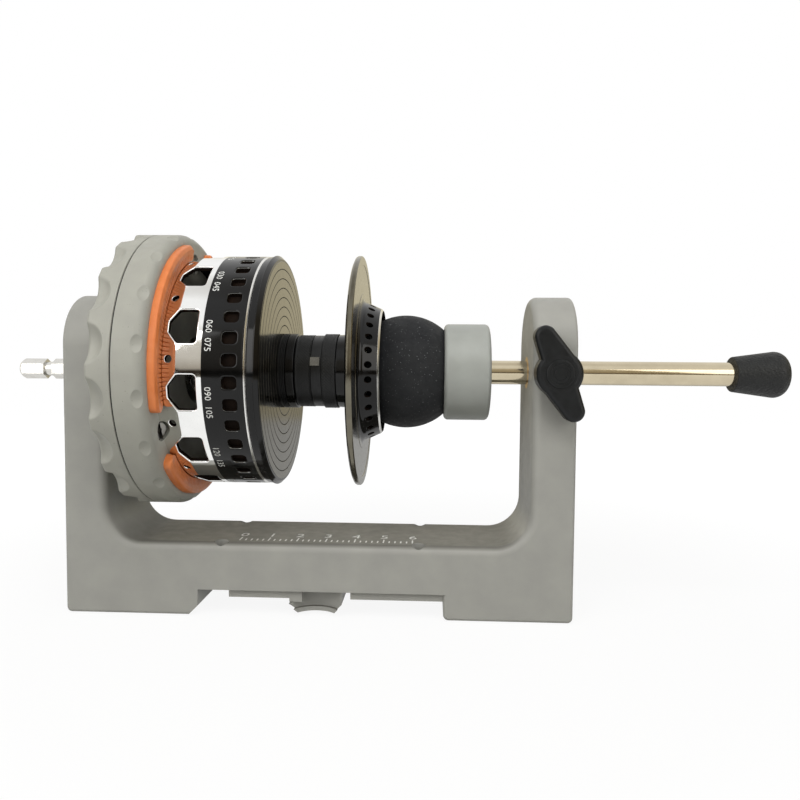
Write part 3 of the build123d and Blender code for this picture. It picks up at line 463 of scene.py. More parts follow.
stand_grey = stand_finish()
chuck_grey = chuck_finish()
ball_black = ball_finish()
cap_black = cap_finish()
jaw_orange = coat("jaw_orange", "d07741", 0.36, 0.35,
                  ("cc723c", "d47d47", 3.5), (2.0, 0.3, 0.44), (0.6, 0.02, 0.3))
gloss_black = coat("gloss_black", "060606", 0.1, 0.3,
                   ("050505", "080808", 6.0), (5.0, 0.07, 0.14), (2.5, 0.006, 0.15))
knob_black = coat("knob_black", "0a0c0d", 0.42, 0.3,
                  ("080a0b", "0e1011", 4.0), (2.0, 0.34, 0.48), (0.4, 0.03, 0.35))
collar_grey = coat("collar_grey", "93958f", 0.4, 0.4,
                   ("90928c", "979993", 6.0), (3.0, 0.34, 0.46), (0.8, 0.015, 0.3))
satin_black = black_metal("satin_black", 0.3, 0.45)
sleeve_black = black_metal("sleeve_black", 0.35, 0.5)
chrome = metal("chrome", "f4f4f2", "eeeeec", 0.04, 0.04, 5.0, (1, 1, 1), 0.08)
rod_chrome = metal("rod_chrome", "cfc3a8", "c4b89e", 0.08, 0.06, 5.0, (0.2, 4, 4), 0.12)
steel = metal("turned_steel", "e2e0db", "d2d0ca", 0.2, 0.1, 3.0, (8, 1, 1))
dull_steel = metal("dull_steel", "a9a7a2", "8f8d88", 0.34, 0.14, 3.0)
aluminium = metal("turned_aluminium", "b9b7b1", "a9a7a1", 0.3, 0.12, 3.0, (8, 1, 1))
flange_metal = metal("flange_metal", "736f62", "6a665a", 0.13, 0.07, 4.0, (8, 1, 1), 0.2)
slot_metal = metal("slot_metal", "7c7c79", "6c6c69", 0.16, 0.08, 3.0)
bright_metal = metal("bright_metal", "e9e8e4", "dddcd8", 0.12, 0.08, 3.0)
brass = metal("brass", "c9a45c", "b8934e", 0.28, 0.12)
# painted shade: dark colour for the floors of the rear flange's thin turned grooves
painted_groove_shade = Finish("painted_groove_shade", "2a2822", 0.6).mottle("26241f", "302e27", 2.0).material
# painted shade: near-black brown for the walls and insides of the skirt's holes, the band's slots and the cup,
# standing for the shade inside the spool
painted_inner_shade = Finish("painted_inner_shade", "120b07", 0.8, Specular_IOR_Level=0.1)
painted_inner_shade = painted_inner_shade.mottle("0d0805", "180f09", 3.0).material
print_white = Finish("print_white", "d2d2cd", 0.6).mottle("cccdc8", "d8d8d3", 1.5).material

node_finishes = [
    (stand_grey, "frame_casting base_tray clamp_seat"),
    (chuck_grey, "chuck_body cam_ring"),
    (jaw_orange, "jaw_1 jaw_2 jaw_3"),
    (chrome, "spool_skirt"),
    (gloss_black, "spool_band arbor_rib_sleeve drag_cup"),
    (satin_black, "spool_arbor"),
    (sleeve_black, "arbor_knurl_sleeve"),
    (slot_metal, "line_clip"),
    (flange_metal, "spool_rear_flange spool_front_flange"),
    (rod_chrome, "tail_rod"),
    (cap_black, "rod_end_cap"),
    (ball_black, "pressure_ball"),
    (collar_grey, "tail_collar"),
    (knob_black, "wing_knob knob_cap cam_friction_ring"),
    (brass, "rod_bush clamp_insert clamp_pad"),
    (aluminium, "bearing_retainer chuck_hub ball_core"),
    (dull_steel, "tray_screws seat_screws spindle_circlip chuck_screws cam_ring_clip hub_washer"),
    (dull_steel, "tail_washer tail_screw"),
    (steel, "retainer_screws spindle_bearing_outer_rings spindle_bearing_inner_rings spindle_bearing_balls"),
    (steel, "drive_spindle hub_nut jaw_slider_1 jaw_slider_2 jaw_slider_3 cam_pin_1 cam_pin_2 cam_pin_3"),
    (steel, "tail_bearing_inner_ring tail_bearing_outer_ring tail_bearing_balls knob_stud"),
]
for finish, names in node_finishes:
    for name in names.split():
        nodes[name].data.materials.clear()
        nodes[name].data.materials.append(finish)


# ---------------------------------------------------------------- jaws
JAW_OUT = 44.5
JAW_ARC = np.radians(95.0)
CONE_LENGTH, CONE_DROP = 7.2, 2.06


def skirt_r(x):
    """Outer radius of the skirt: a plain cylinder that narrows in a straight cone towards the chuck."""
    return SPOOL_R - CONE_DROP * np.clip((FACE_X + CONE_LENGTH - x) / CONE_LENGTH, 0, 1)


def swept(section_x, section_r, angle):
    """Grid of a section carried along an arc, closed at both ends by a point in the end's middle."""
    run = around(section_x, section_r, angle[None, :])
    first, last = (np.broadcast_to(run[:, k].mean(0), run[:, k].shape)[:, None] for k in (0, -1))
    return np.concatenate([first, run, last], 1), True, False


def make_jaw(number, middle):
    """Section carried along an arc, and below it the tongue that runs into the chuck.

    Near an end the section narrows by a quarter circle, and its front face is cut by short radial
    teeth at its inner edge: a wave along the arc, sharpened by a power.
    """
    foot, lip, step = skirt_r(FACE_X) + 0.25, skirt_r(JAW_FRONT) + 0.12, 41.9
    section = rounded(
        [(FACE_X, foot, 0.05), (FACE_X, JAW_OUT, 0.05), (JAW_FRONT - 0.5, JAW_OUT, 0.7),
         (JAW_FRONT, JAW_OUT - 1.5, 0.7), (JAW_FRONT - 0.12, step, 0.1), (JAW_FRONT - 0.16, step - 0.3, 0.1),
         (JAW_FRONT - 0.3, lip, 0.12)],
        5,
        0.06,
    )
    centre_r, half_width = (JAW_OUT + lip) / 2, (JAW_OUT - lip) / 2
    teeth, tooth_depth, sharpness, toothless_end = 46, 0.6, 5, 3.0
    tooth_top, tooth_fade, plain_back = 41.8, 1.6, 1.2
    corner, end_share = 2.2, 0.030
    s = np.linspace(0, 1, teeth * 8 + 1)
    ends = end_share * (1 - np.cos(np.linspace(0, np.pi / 2, 10)))
    s = np.unique(np.concatenate([s, ends, 1 - ends]))
    from_end = np.minimum(s, 1 - s) * JAW_ARC * centre_r
    inset = corner - np.sqrt(np.maximum(corner**2 - np.maximum(corner - from_end, 0) ** 2, 0))
    wave = np.clip(np.cos(TURN * teeth * s), 0, 1) ** sharpness * (from_end > toothless_end)
    toothed = np.clip((tooth_top - section[:, 1:]) / tooth_fade, 0, 1)
    toothed = toothed * (section[:, :1] > FACE_X + plain_back)
    r = centre_r + (section[:, 1:] - centre_r) * (1 - inset / half_width)
    arc = swept(section[:, :1] - tooth_depth * wave * toothed, r, middle + (s - 0.5) * JAW_ARC)

    low, high, half_side = 40.6, 42.2, 5.9
    back, front = FACE_X - 3, FACE_X + 0.5
    tongue = rounded([(back, low, 0.2), (front, low, 0.2), (front, high, 0.2), (back, high, 0.2)], 2)
    bar = swept(tongue[:, :1], tongue[:, 1:], middle + np.linspace(-1, 1, 9) * np.arcsin(half_side / 41))
    make_piece(f"jaw_arc_{number}", [arc, bar], f"jaw_{number}_group", [f"jaw_{number}"],
               [jaw_orange], sharp=30)


for number, angle in ((1, 60), (2, 180), (3, 300)):
    make_jaw(number, np.radians(angle))


# ---------------------------------------------------------------- cam ring
def make_cam_ring():
    """Turned ring whose rim has 18 hollows at its back edge.

    A hollow is where the rim meets an ellipsoid centred outside it at the back edge, and the two
    meet softly: the smaller radius is taken by a smooth minimum.
    """
    back, front, rim = RING_BACK, RING_FRONT, CHUCK_R
    bore, web, shell, recess = 15.1, 21.0, 41.0, 2.0
    line = rounded(
        [(front, bore, 0.3), (front, rim, 0.35), (back, rim, 1.1), (back, shell, 0.3),
         (back + recess, shell - 0.3, 0.3), (back + recess, web + 0.3, 0.3), (back, web, 0.3),
         (back, bore, 0.3)],
        5,
        0.1,
    )
    line = finer(np.concatenate([line, line[:1]]), 0.3)[:-1]
    on_grip = line[:, 1] > shell + 0.2
    on_step = np.abs(line[:, 0] - back - recess / 2) < 0.9
    line = line[on_grip | on_step | (np.arange(len(line)) % 6 == 0)]
    count = 18
    angle = np.arange(count * 36) * TURN / (count * 36)
    away = (angle + np.pi / count) % (TURN / count) - np.pi / count
    lift, deep, along, aside, soft = 3.3, 6.0, 6.7, 7.6, 0.10
    inside = 1 - ((line[:, :1] - back) / along) ** 2 - (away[None, :] * rim / aside) ** 2
    hollow = rim + lift - deep * np.sqrt(np.maximum(inside, 0.0))
    cut = soft * np.logaddexp(0, (rim - hollow) / soft)
    untouched, fade = 41.6, 4.6
    share = np.clip((line[:, 1:] - untouched) / fade, 0, 1)
    grid = around(line[:, :1], line[:, 1:] - cut * share, angle[None, :])
    make_piece("cam_ring_body", [(grid, True, True)], "cam", ["cam_ring"], [chuck_grey],
               sharp=50)


make_cam_ring()


# ---------------------------------------------------------------- wing knob
KNOB_LEAN = np.radians(27.7)
WING_ASIDE, WING_REACH, WING_ROOT_R, WING_TIP_R = 1.4, 12.8, 5.85, 3.5


def wing_reach(angle):
    """Distance to the edge of one wing's hull of two circles, seen from the hub's centre.

    The hull of a root circle and an end circle is the union of circles whose centre and radius
    run together from one to the other, and the far crossing of a ray with each is taken.
    """
    t = np.linspace(0, 1, 60)[:, None]
    cx, cy, rad = WING_ASIDE + 0 * t, WING_REACH * t, WING_ROOT_R + (WING_TIP_R - WING_ROOT_R) * t
    dx, dy = np.sin(angle)[None, :], np.cos(angle)[None, :]
    along = cx * dx + cy * dy
    inside = along**2 - (cx**2 + cy**2) + rad**2
    return np.where(inside > 0, along + np.sqrt(np.maximum(inside, 0)), 0).max(0)


def knob_place(u, v, h):
    """Knob plane to the frame: u right, v up before the lean, h in front of the knob's back."""
    c, s = np.cos(KNOB_LEAN), np.sin(KNOB_LEAN)
    return np.stack([KNOB_X + u * c - v * s, KNOB_BACK - h, AXIS_Z + u * s + v * c], -1)


def stack_up(outline, levels):
    """Grid of a knob's outline moved inwards along its normals level by level, closed by a point."""
    slope = np.roll(outline, -1, 0) - np.roll(outline, 1, 0)
    slope /= np.linalg.norm(slope, axis=1, keepdims=True)
    normal = np.stack([slope[:, 1], -slope[:, 0]], -1)
    normal = normal * np.sign((normal * outline).sum(1).mean())
    inset, height = levels[:, :1, None], levels[:, 1:]
    flat = outline[None] - inset * normal[None]
    flat = np.concatenate([flat, 0 * flat[:1]])
    height = np.concatenate([height, height[-1:]])
    return knob_place(flat[..., 0], flat[..., 1], np.broadcast_to(height, flat.shape[:2]))


def make_knob():
    """Two rounded wings and a turned hub, its cap set in a groove and marked by a shallow ring.

    The outline is the largest reach of the wings in every direction, a little blended in the corners.
    """
    depth = KNOB_BACK - KNOB_FRONT
    angle = np.arange(240) * TURN / 240
    blend = 0.35
    reach = blend * np.logaddexp(wing_reach(angle) / blend, wing_reach(angle + np.pi) / blend)
    line = evenly(np.stack([reach * np.sin(angle), reach * np.cos(angle)], -1), 300)
    low, high = depth - 6.8, depth - 0.4
    edge = rounded([(3.0, low, 0), (0, low, 0.5), (0, high, 1.5), (2.2, high, 0)], 6, 0.1, False)
    wings = stack_up(line, edge)
    hub_r, flat, mark = 7.5, depth - 0.03, depth - 0.14
    hub_edge = rounded(
        [(0.0, 0.0, 0), (hub_r, 0.0, 0.4), (hub_r, depth - 1.4, 0.9), (6.6, depth - 0.55, 0.2),
         (5.55, depth - 0.35, 0.2), (5.2, depth - 1.3, 0.1), (4.75, depth - 1.3, 0.1), (4.5, depth, 0.35),
         (3.4, flat, 0.05), (3.3, mark, 0.03), (3.1, mark, 0.03), (3.0, flat, 0.05), (2.3, flat, 0.05),
         (2.2, mark, 0.03), (2.0, mark, 0.03), (1.9, flat, 0.05), (0.0, flat, 0)],
        3,
        0.05,
        False,
    )
    hub_r, hub_h = hub_edge[:, :1], hub_edge[:, 1:]
    hub = knob_place(hub_r * np.sin(angle), hub_r * np.cos(angle), hub_h + 0 * angle)
    make_piece("wing_knob_body", [(wings, False, True), (hub, False, True)], "knob",
               ["wing_knob", "knob_cap"], [knob_black], sharp=50)


make_knob()


# ---------------------------------------------------------------- spool
def make_skirt():
    """Chromed skirt: twelve windows square towards the band and narrowing towards the chuck, with a
    drain hole between each two, all cut in a wall that narrows in a cone from the windows' corners."""
    count, phase, length, crease = 12, 9.5, SKIRT_END - SKIRT_START, CONE_LENGTH
    bevel, wall, half, drain_half = 0.45, 1.6, 11.5, 3.5
    start, end, narrow, wide = 4.1, 13.2, 1.9, 5.6
    side, drain_side = np.radians(half) * SPOOL_R, np.radians(drain_half) * SPOOL_R
    window = rounded(
        [(start, -narrow, 0.9), (crease, -wide, 0.9), (end, -wide, 1.0), (end, wide, 1.0), (crease, wide, 0.9),
         (start, narrow, 0.9)],
        5,
    )
    cone_steps, flat_steps, across_steps, drain_steps = 9, 10, 20, 8
    corners = [(0, -side), (crease, -side), (length, -side), (length, side), (crease, side), (0, side)]
    aims = list(corners)
    aims[1], aims[4] = (crease, -5.5), (crease, 5.5)
    counts = [cone_steps, flat_steps, across_steps, flat_steps, cone_steps, across_steps]
    cell = hole_cell(window, corners, aims, counts, bevel, wall)
    drain_corners = box_corners(crease, drain_side)
    drain_counts = [cone_steps, drain_steps, cone_steps, drain_steps]
    drain = hole_cell(circle(4.6, 1.2, 1.2, 40), drain_corners, drain_corners, drain_counts, 0.3, wall)
    across = np.linspace(-side, side, across_steps + 1) / SPOOL_R
    drain_across = np.linspace(-drain_side, drain_side, drain_steps + 1) / SPOOL_R
    run = SKIRT_START + np.linspace(crease, length, flat_steps + 1)[:, None]
    grids = []
    for k in range(count):
        middle = np.radians(phase + 360 / count * k)
        between = middle + np.pi / count
        angle, drain_angle = (middle + across)[None, :], (between + drain_across)[None, :]
        grids.append(bent(cell, SKIRT_START, skirt_r, middle))
        grids.append(bent(drain, SKIRT_START, skirt_r, between))
        for depth in (0, wall):
            grids.append((around(run, SPOOL_R - depth, drain_angle), False, False))
        for x in (SKIRT_START, SKIRT_END):
            r = skirt_r(x) - np.array([[0.0], [wall]])
            grids.append((around(x, r, angle), False, False))
            grids.append((around(x, r, drain_angle), False, False))

    # faces deeper than the rounded edge, the window and drain walls and the skirt's inside, take the painted
    # inner shade
    def pick(p):
        return (radius_of(p) < skirt_r(p[:, 0]) - bevel - 0.03).astype(int)

    make_piece("skirt_shell", grids, "rotor", ["spool_skirt"], [chrome, painted_inner_shade], pick, sharp=13)


def make_band():
    """Gloss-black band with 36 rounded slots whose edges are rounded over to the bare metal."""
    length, wall, bevel, count = BAND_END - BAND_START, 1.6, 0.5, 36
    start, end, half = 6.2, 10.7, 1.9
    slot = rounded([(start, -half, 1.1), (end, -half, 1.1), (end, half, 1.1), (start, half, 1.1)], 4)
    corners = box_corners(length, np.pi / count * SPOOL_R)
    n, m = 12, 8
    cell = hole_cell(slot, corners, corners, [n, m, n, m], bevel, wall, 4)
    ends = np.array([[0.0], [wall]])
    angle = (np.arange(count * m) / m)[None, :] * TURN / count
    grids = [
        bent(cell, BAND_START, lambda x: SPOOL_R + 0 * x, (k + 0.5) * TURN / count) for k in range(count)
    ]
    grids += [(around(x, SPOOL_R - ends, angle), False, True) for x in (BAND_START, BAND_END)]

    # slot walls past the rounded edge take the painted inner shade
    def pick(p):
        deep = SPOOL_R - radius_of(p)
        return np.where(deep < 0.16, 0, np.where(deep < bevel + 0.02, 1, 2))

    make_piece("band_shell", grids, "rotor", ["spool_band"],
               [gloss_black, slot_metal, painted_inner_shade], pick, sharp=30)


def make_band_shade_sleeve():
    """Thin sleeve inside the band in the painted inner shade: a dark sheet that stands for the shade inside the
    spool and closes the view through the band's slots.
    """
    start, end = BAND_START + 0.3, REAR_BACK
    outer, inner = SPOOL_R - 1.65, SPOOL_R - 2.25
    line = rounded([(start, outer, 0.1), (end, outer, 0.1), (end, inner, 0.1), (start, inner, 0.1)], 3)
    make_piece("band_shade_sleeve", [turned(line, 144)], "rotor", [], [painted_inner_shade])


def make_rear_flange():
    """Turned flange: bevelled gloss-black rim, a bright groove behind it, and a polished face with
    seven thin turned grooves whose floors are painted dark as painted shade."""
    back, face, rim = REAR_BACK, REAR_FACE, RIM_R
    seat, spigot, recess = 37.2, 38.7, 2.4
    edge, groove = BAND_END + 0.5, BAND_END + 1.0
    rings = np.array([16.2, 19.5, 22.8, 26.1, 29.4, 32.7, 36.0])
    depth, width = 0.16, 0.16
    steps = np.stack([rings + width, rings + width, rings - width, rings - width], -1)[::-1].reshape(-1)
    drops = np.tile([0.0, depth, depth, 0.0], len(rings))
    line = rounded(
        [(back, seat, 0.1), (back, spigot, 0.1), (BAND_END, spigot, 0.1), (BAND_END, SPOOL_R, 0.02),
         (edge, SPOOL_R, 0.05), (groove, SPOOL_R - 0.5, 0.05), (groove + 0.3, SPOOL_R - 0.5, 0.05),
         (groove + 0.6, SPOOL_R - 0.1, 0.1), (face - 1.6, SPOOL_R + 0.1, 0.1), (face - 1.45, rim, 0.15),
         (face - 0.1, rim - 1.4, 0.2), (face - 0.1, rim - 2.1, 0.05), (face, rim - 2.2, 0.03)]
        + [(face - d, r, 0.02) for r, d in zip(steps, drops)]
        + [(face, ARBOR_R, 0.05), (face - recess, ARBOR_R, 0.05), (face - recess, seat, 0.1)],
        3,
        0.06,
    )

    def pick(p):
        x, r = p[:, 0], radius_of(p)
        black = (r > rim - 2.15) | (x < face - 2.0)
        bright = (x > edge) & (x < groove + 0.02) & (r > SPOOL_R - 0.6)
        # painted shade: the floors of the seven grooves take the dark groove colour
        in_ring = (x < face - 0.05) & (x > face - 0.2) & (r < rim - 2.3) & (r > ARBOR_R + 1)
        return np.where(bright, 3, np.where(black, 1, np.where(in_ring, 2, 0)))

    make_piece("rear_flange", [turned(line, 288)], "rotor", ["spool_rear_flange"],
               [flange_metal, gloss_black, painted_groove_shade, bright_metal], pick)


def make_knurl(name, first, last, r, replaced, pitch):
    """Knurled sleeve: the sum of two waves that climb the cylinder in opposite directions."""
    inner, deep, fade = ARBOR_R - 0.3, 0.14, 0.4
    corners = [(first, inner, 0.05), (first, r, 0.2), (last, r, 0.2), (last, inner, 0.05)]
    line = finer(rounded(corners, 3, 0.1, False), pitch / 4)
    teeth = int(round(TURN * r / pitch))
    angle = np.arange(teeth * 4) * TURN / (teeth * 4)
    climb = line[:, :1] / r
    wave = np.cos((angle + climb) * teeth) + np.cos((angle - climb) * teeth)
    inside = np.clip((line[:, :1] - first) / fade, 0, 1) * np.clip((last - line[:, :1]) / fade, 0, 1)
    cut = deep * (1 - wave / 2) * inside * (line[:, 1:] > r - 0.05)
    grid = around(line[:, :1], line[:, 1:] - cut, angle[None, :])
    make_piece(name, [(grid, True, True)], "rotor", replaced, [sleeve_black], sharp=80)


def make_arbor_ring(name, first, first_r, last, last_r, last_foot, fillet, finish):
    """Turned ring on the arbor between two places, each with its radius."""
    inner = ARBOR_R - 0.3
    corners = [(first, inner, 0.05), (first, first_r, fillet), (last, last_r, fillet), (last_foot, inner, 0.05)]
    make_piece(name, [turned(rounded(corners, 3, 0.08), 144)], "rotor", [], [finish])


def make_arbor():
    """Turned arbor: ribs, a glossy ring, a fine knurl, a smooth band, a second knurl and a collar."""
    bore, x0 = 10.4, REAR_FACE
    rib, rib_pitch, ribs = ((0.0, 0.45), (0.1, 0.0), (0.35, 0.0), (0.45, 0.45)), 0.55, 4
    line = rounded(
        [(ARBOR_START, bore, 0.1), (ARBOR_START, ARBOR_R, 0.2)]
        + [(x0 + 0.25 + rib_pitch * k + d, SLEEVE_R - h, 0.04) for k in range(ribs) for d, h in rib]
        + [(x0 + 2.5, ARBOR_R + 0.1, 0.1), (x0 + 2.6, SLEEVE_R, 0.2), (x0 + 5.4, SLEEVE_R, 0.25),
           (x0 + 5.6, ARBOR_R + 0.2, 0.1), (x0 + 5.9, ARBOR_R, 0.1), (ARBOR_END, ARBOR_R, 0.1),
           (ARBOR_END, bore, 0.1)],
        3,
        0.06,
    )

    def pick(p):
        return ((p[:, 0] > x0 + 2.4) & (p[:, 0] < x0 + 5.7) & (radius_of(p) > ARBOR_R)).astype(int)

    make_piece("arbor_tube", [turned(line, 144)], "rotor", ["spool_arbor", "arbor_rib_sleeve"],
               [satin_black, gloss_black], pick)
    make_knurl("fine_knurl", x0 + 5.9, x0 + 11.2, ARBOR_R + 0.45, [], 1.0)
    make_knurl("coarse_knurl", KNURL_START, KNURL_END - 2.4, SLEEVE_R, ["arbor_knurl_sleeve"], 1.1)
    make_arbor_ring("smooth_band", x0 + 11.3, ARBOR_R + 0.3, x0 + 14.9, ARBOR_R + 0.3, x0 + 14.9, 0.15,
                    satin_black)
    make_arbor_ring("arbor_collar", KNURL_END - 2.3, ARBOR_R + 0.5, FLANGE_BACK - 0.3, ARBOR_R + 0.9,
                    FLANGE_BACK - 0.02, 0.2, gloss_black)


CUP_FOOT_R, CUP_MOUTH_R, CUP_FILLET = 24.3, 21.9, 1.7


def cup_r(x):
    """Outer radius of the cup's cone, from the end of the fillet at its foot to its mouth."""
    share = (x - FLANGE_FACE - CUP_FILLET) / (CUP_MOUTH - FLANGE_FACE - CUP_FILLET)
    return CUP_FOOT_R + (CUP_MOUTH_R - CUP_FOOT_R) * share


def make_front_flange():
    """Turned flange: gloss-black rear face, polished rim and front face with a shallow ring."""
    back, face, rim = FLANGE_BACK, FLANGE_FACE, FLANGE_R
    low = face - 0.12
    line = rounded(
        [(back, ARBOR_R, 0.05), (back, rim - 1.4, 0.2), (back + 0.5, rim - 0.3, 0.2), (back + 1.0, rim, 0.15),
         (face - 0.35, rim, 0.12), (face, rim - 0.35, 0.1), (face, rim - 3.0, 0.05), (low, rim - 3.15, 0.05),
         (low, CUP_FOOT_R + 3.4, 0.05), (face, CUP_FOOT_R + 3.3, 0.05), (face, ARBOR_R, 0.05)],
        4,
        0.08,
    )

    def pick(p):
        return ((p[:, 0] < back + 0.55) & (radius_of(p) > ARBOR_R + 0.05)).astype(int)

    make_piece("front_flange", [turned(line, 288)], "rotor", ["spool_front_flange"],
               [flange_metal, gloss_black], pick)


def make_cup():
    """Drag cup: a cone with 30 countersunk holes, a concave fillet at its foot and a bright bevelled mouth.

    The fillet is a quarter circle from the flange's face to the cone.
    """
    face, mouth, fillet = FLANGE_FACE, CUP_MOUTH, CUP_FILLET
    lip, wall, count = 0.6, 1.5, 30
    start, end = face + fillet, mouth - lip
    hole_x, hole_r, hole_ring = 1.75, 1.1, 23.5
    hole = circle(hole_x, hole_r, hole_r * SPOOL_R / hole_ring, 32)
    corners = box_corners(end - start, np.pi / count * SPOOL_R)
    n = 8
    cell = hole_cell(hole, corners, corners, [n, n, n, n], 0.2, wall, 4)
    angle = ((np.arange(count * n) / n - 0.5) * TURN / count)[None, :]
    t = np.linspace(np.pi / 2, 0, 9)
    low, top, sunk = cup_r(start), cup_r(end), face - 0.05
    root = np.stack([face + fillet - fillet * np.sin(t), low + fillet - fillet * np.cos(t)], -1)
    root = np.concatenate([[(sunk, low - wall), (sunk, low + fillet)], root])
    rim = np.array([(end, top), (end + 0.05, top - 0.01), (mouth - 0.05, top - 0.55), (mouth, top - 0.62),
                    (mouth, top - wall), (end, top - wall)])
    inner = np.array([(sunk, low - wall), (start, low - wall)])
    grids = [bent(cell, start, cup_r, k * TURN / count) for k in range(count)]
    grids += [(around(line[:, :1], line[:, 1:], angle), False, True) for line in (root, rim, inner)]

    # the cone's inside takes the painted inner shade
    def pick(p):
        x, r = p[:, 0], radius_of(p)
        bright = (x > end + 0.02) & (r > top - 0.65)
        return np.where(bright, 1, np.where((r < cup_r(x) - 0.3) & (x > start), 2, 0))

    make_piece("cup_shell", grids, "rotor", ["drag_cup"],
               [gloss_black, bright_metal, painted_inner_shade], pick, sharp=30)


make_skirt()
make_band()
make_band_shade_sleeve()
make_rear_flange()
make_arbor()
make_front_flange()
make_cup()


# ---------------------------------------------------------------- printed numbers and graduations
def points_of(mesh):
    """A flat mesh with its points."""
    points = np.empty(len(mesh.vertices) * 3)
    mesh.vertices.foreach_get("co", points)
    return mesh, points.reshape(-1, 3)


def flat_text(body, size, name):
    """Letters of a string as one flat mesh, middle at the origin, in millimetres."""
    curve = bpy.data.curves.new(name, "FONT")
    curve.body = body
    curve.size = size
    curve.align_x, curve.align_y = "CENTER", "CENTER"
    curve.resolution_u = 2
    holder = put(name, curve)
    mesh = bpy.data.meshes.new_from_object(holder)
    bpy.data.objects.remove(holder)
    return points_of(mesh)


def flat_tick(length, width, name):
    """Stroke of a graduation as one flat mesh, its start at the origin, in millimetres."""
    half = width / 2
    mesh = bpy.data.meshes.new(name)
    mesh.from_pydata([(0, -half, 0), (length, -half, 0), (length, half, 0), (0, half, 0)], [], [(0, 1, 2, 3)])
    return points_of(mesh)


def lay(mesh, places):
    """The mesh with its points at places given in millimetres."""
    mesh.vertices.foreach_set("co", (places * MM).ravel())
    mesh.update()
    return mesh


def print_piece(name, meshes, body, finish):
    """Joins flat letters, already bent into place, into one piece."""
    shell = bmesh.new()
    for mesh in meshes:
        shell.from_mesh(mesh)
    merged = bpy.data.meshes.new(name)
    shell.to_mesh(merged)
    shell.free()
    merged.materials.clear()
    merged.materials.append(finish)
    piece = put(name, merged)
    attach(piece, body)


def number_band():
    """Plain numbers round the band, wrapped: reading direction becomes angle, letter height becomes x."""
    start, phase, proud, size = BAND_START + 1.8, 14, 0.015, 2.9
    meshes = []
    for k in range(12):
        mesh, p = flat_text(f"{30 * k:03d}  {30 * k + 15:03d}", size, f"band_number_{k}")
        angle = np.radians(30 * k + phase) + p[:, 0] / SPOOL_R
        meshes.append(lay(mesh, around(start + p[:, 1], SPOOL_R + proud, angle)))
    print_piece("band_numbers", meshes, "rotor", print_white)


def bed_scale():
    """Plain centimetre graduations on the bed's top, numbers behind the ticks."""
    bed_height, proud, left, front, behind = 25.2, 0.02, -53.0, -13.6, 7.6
    top = STAND_FLOOR + bed_height + proud
    meshes = []
    for k in range(31):
        mesh, p = flat_tick(4.2 if k % 5 == 0 else 2.4, 0.48, f"bed_tick_{k}")
        meshes.append(lay(mesh, np.stack([left + 2 * k + p[:, 1], front + p[:, 0], top + 0 * p[:, 0]], -1)))
    for k in range(7):
        mesh, p = flat_text(f"{k}", 6.4, f"bed_number_{k}")
        places = np.stack([left + 10 * k + p[:, 0], front + behind + p[:, 1], top + 0 * p[:, 0]], -1)
        meshes.append(lay(mesh, places))
    print_piece("bed_graduations", meshes, "stand", print_white)


number_band()
bed_scale()


# ---------------------------------------------------------------- floor, light and camera
def make_floor():
    """Pale floor that stays white in the picture and keeps a soft shadow; metal sees it darker
    behind the object."""
    s = 0.8
    mesh = bpy.data.meshes.new("floor")
    mesh.from_pydata([(-s, -s, 0), (s, -s, 0), (s, s, 0), (-s, s, 0)], [], [(0, 1, 2, 3)])
    f = Finish("floor_white", "b8b8b5", 0.9)
    rays = f.add("ShaderNodeLightPath")
    before = f.ranged(f.part(f.place, "Y"), 0.02, 0.12, 1, 0.3)
    mirrored = f.fed("ShaderNodeMath", rays.outputs["Is Glossy Ray"], before, operation="MULTIPLY")
    either = f.fed("ShaderNodeMath", rays.outputs["Is Camera Ray"], mirrored, operation="MAXIMUM")
    reach = f.add("ShaderNodeVectorMath", operation="LENGTH")
    f.join(f.place, reach.inputs[0])
    outwards = f.ranged(reach.outputs["Value"], 0.12, 0.45, 0.84, 1.0)
    share = f.fed("ShaderNodeMath", either, outwards, operation="MULTIPLY")
    glow = f.add("ShaderNodeEmission")
    glow.inputs["Color"].default_value = (1, 1, 1, 1)
    glow.inputs["Strength"].default_value = 1.08
    seen = f.fed("ShaderNodeMixShader", share, f.shader.outputs[0], glow.outputs[0])
    f.join(seen, f.tree.nodes["Material Output"].inputs["Surface"])
    mesh.materials.append(f.material)
    floor = put("floor", mesh)
    floor.location.z = cad_box[0][2] - 0.0002


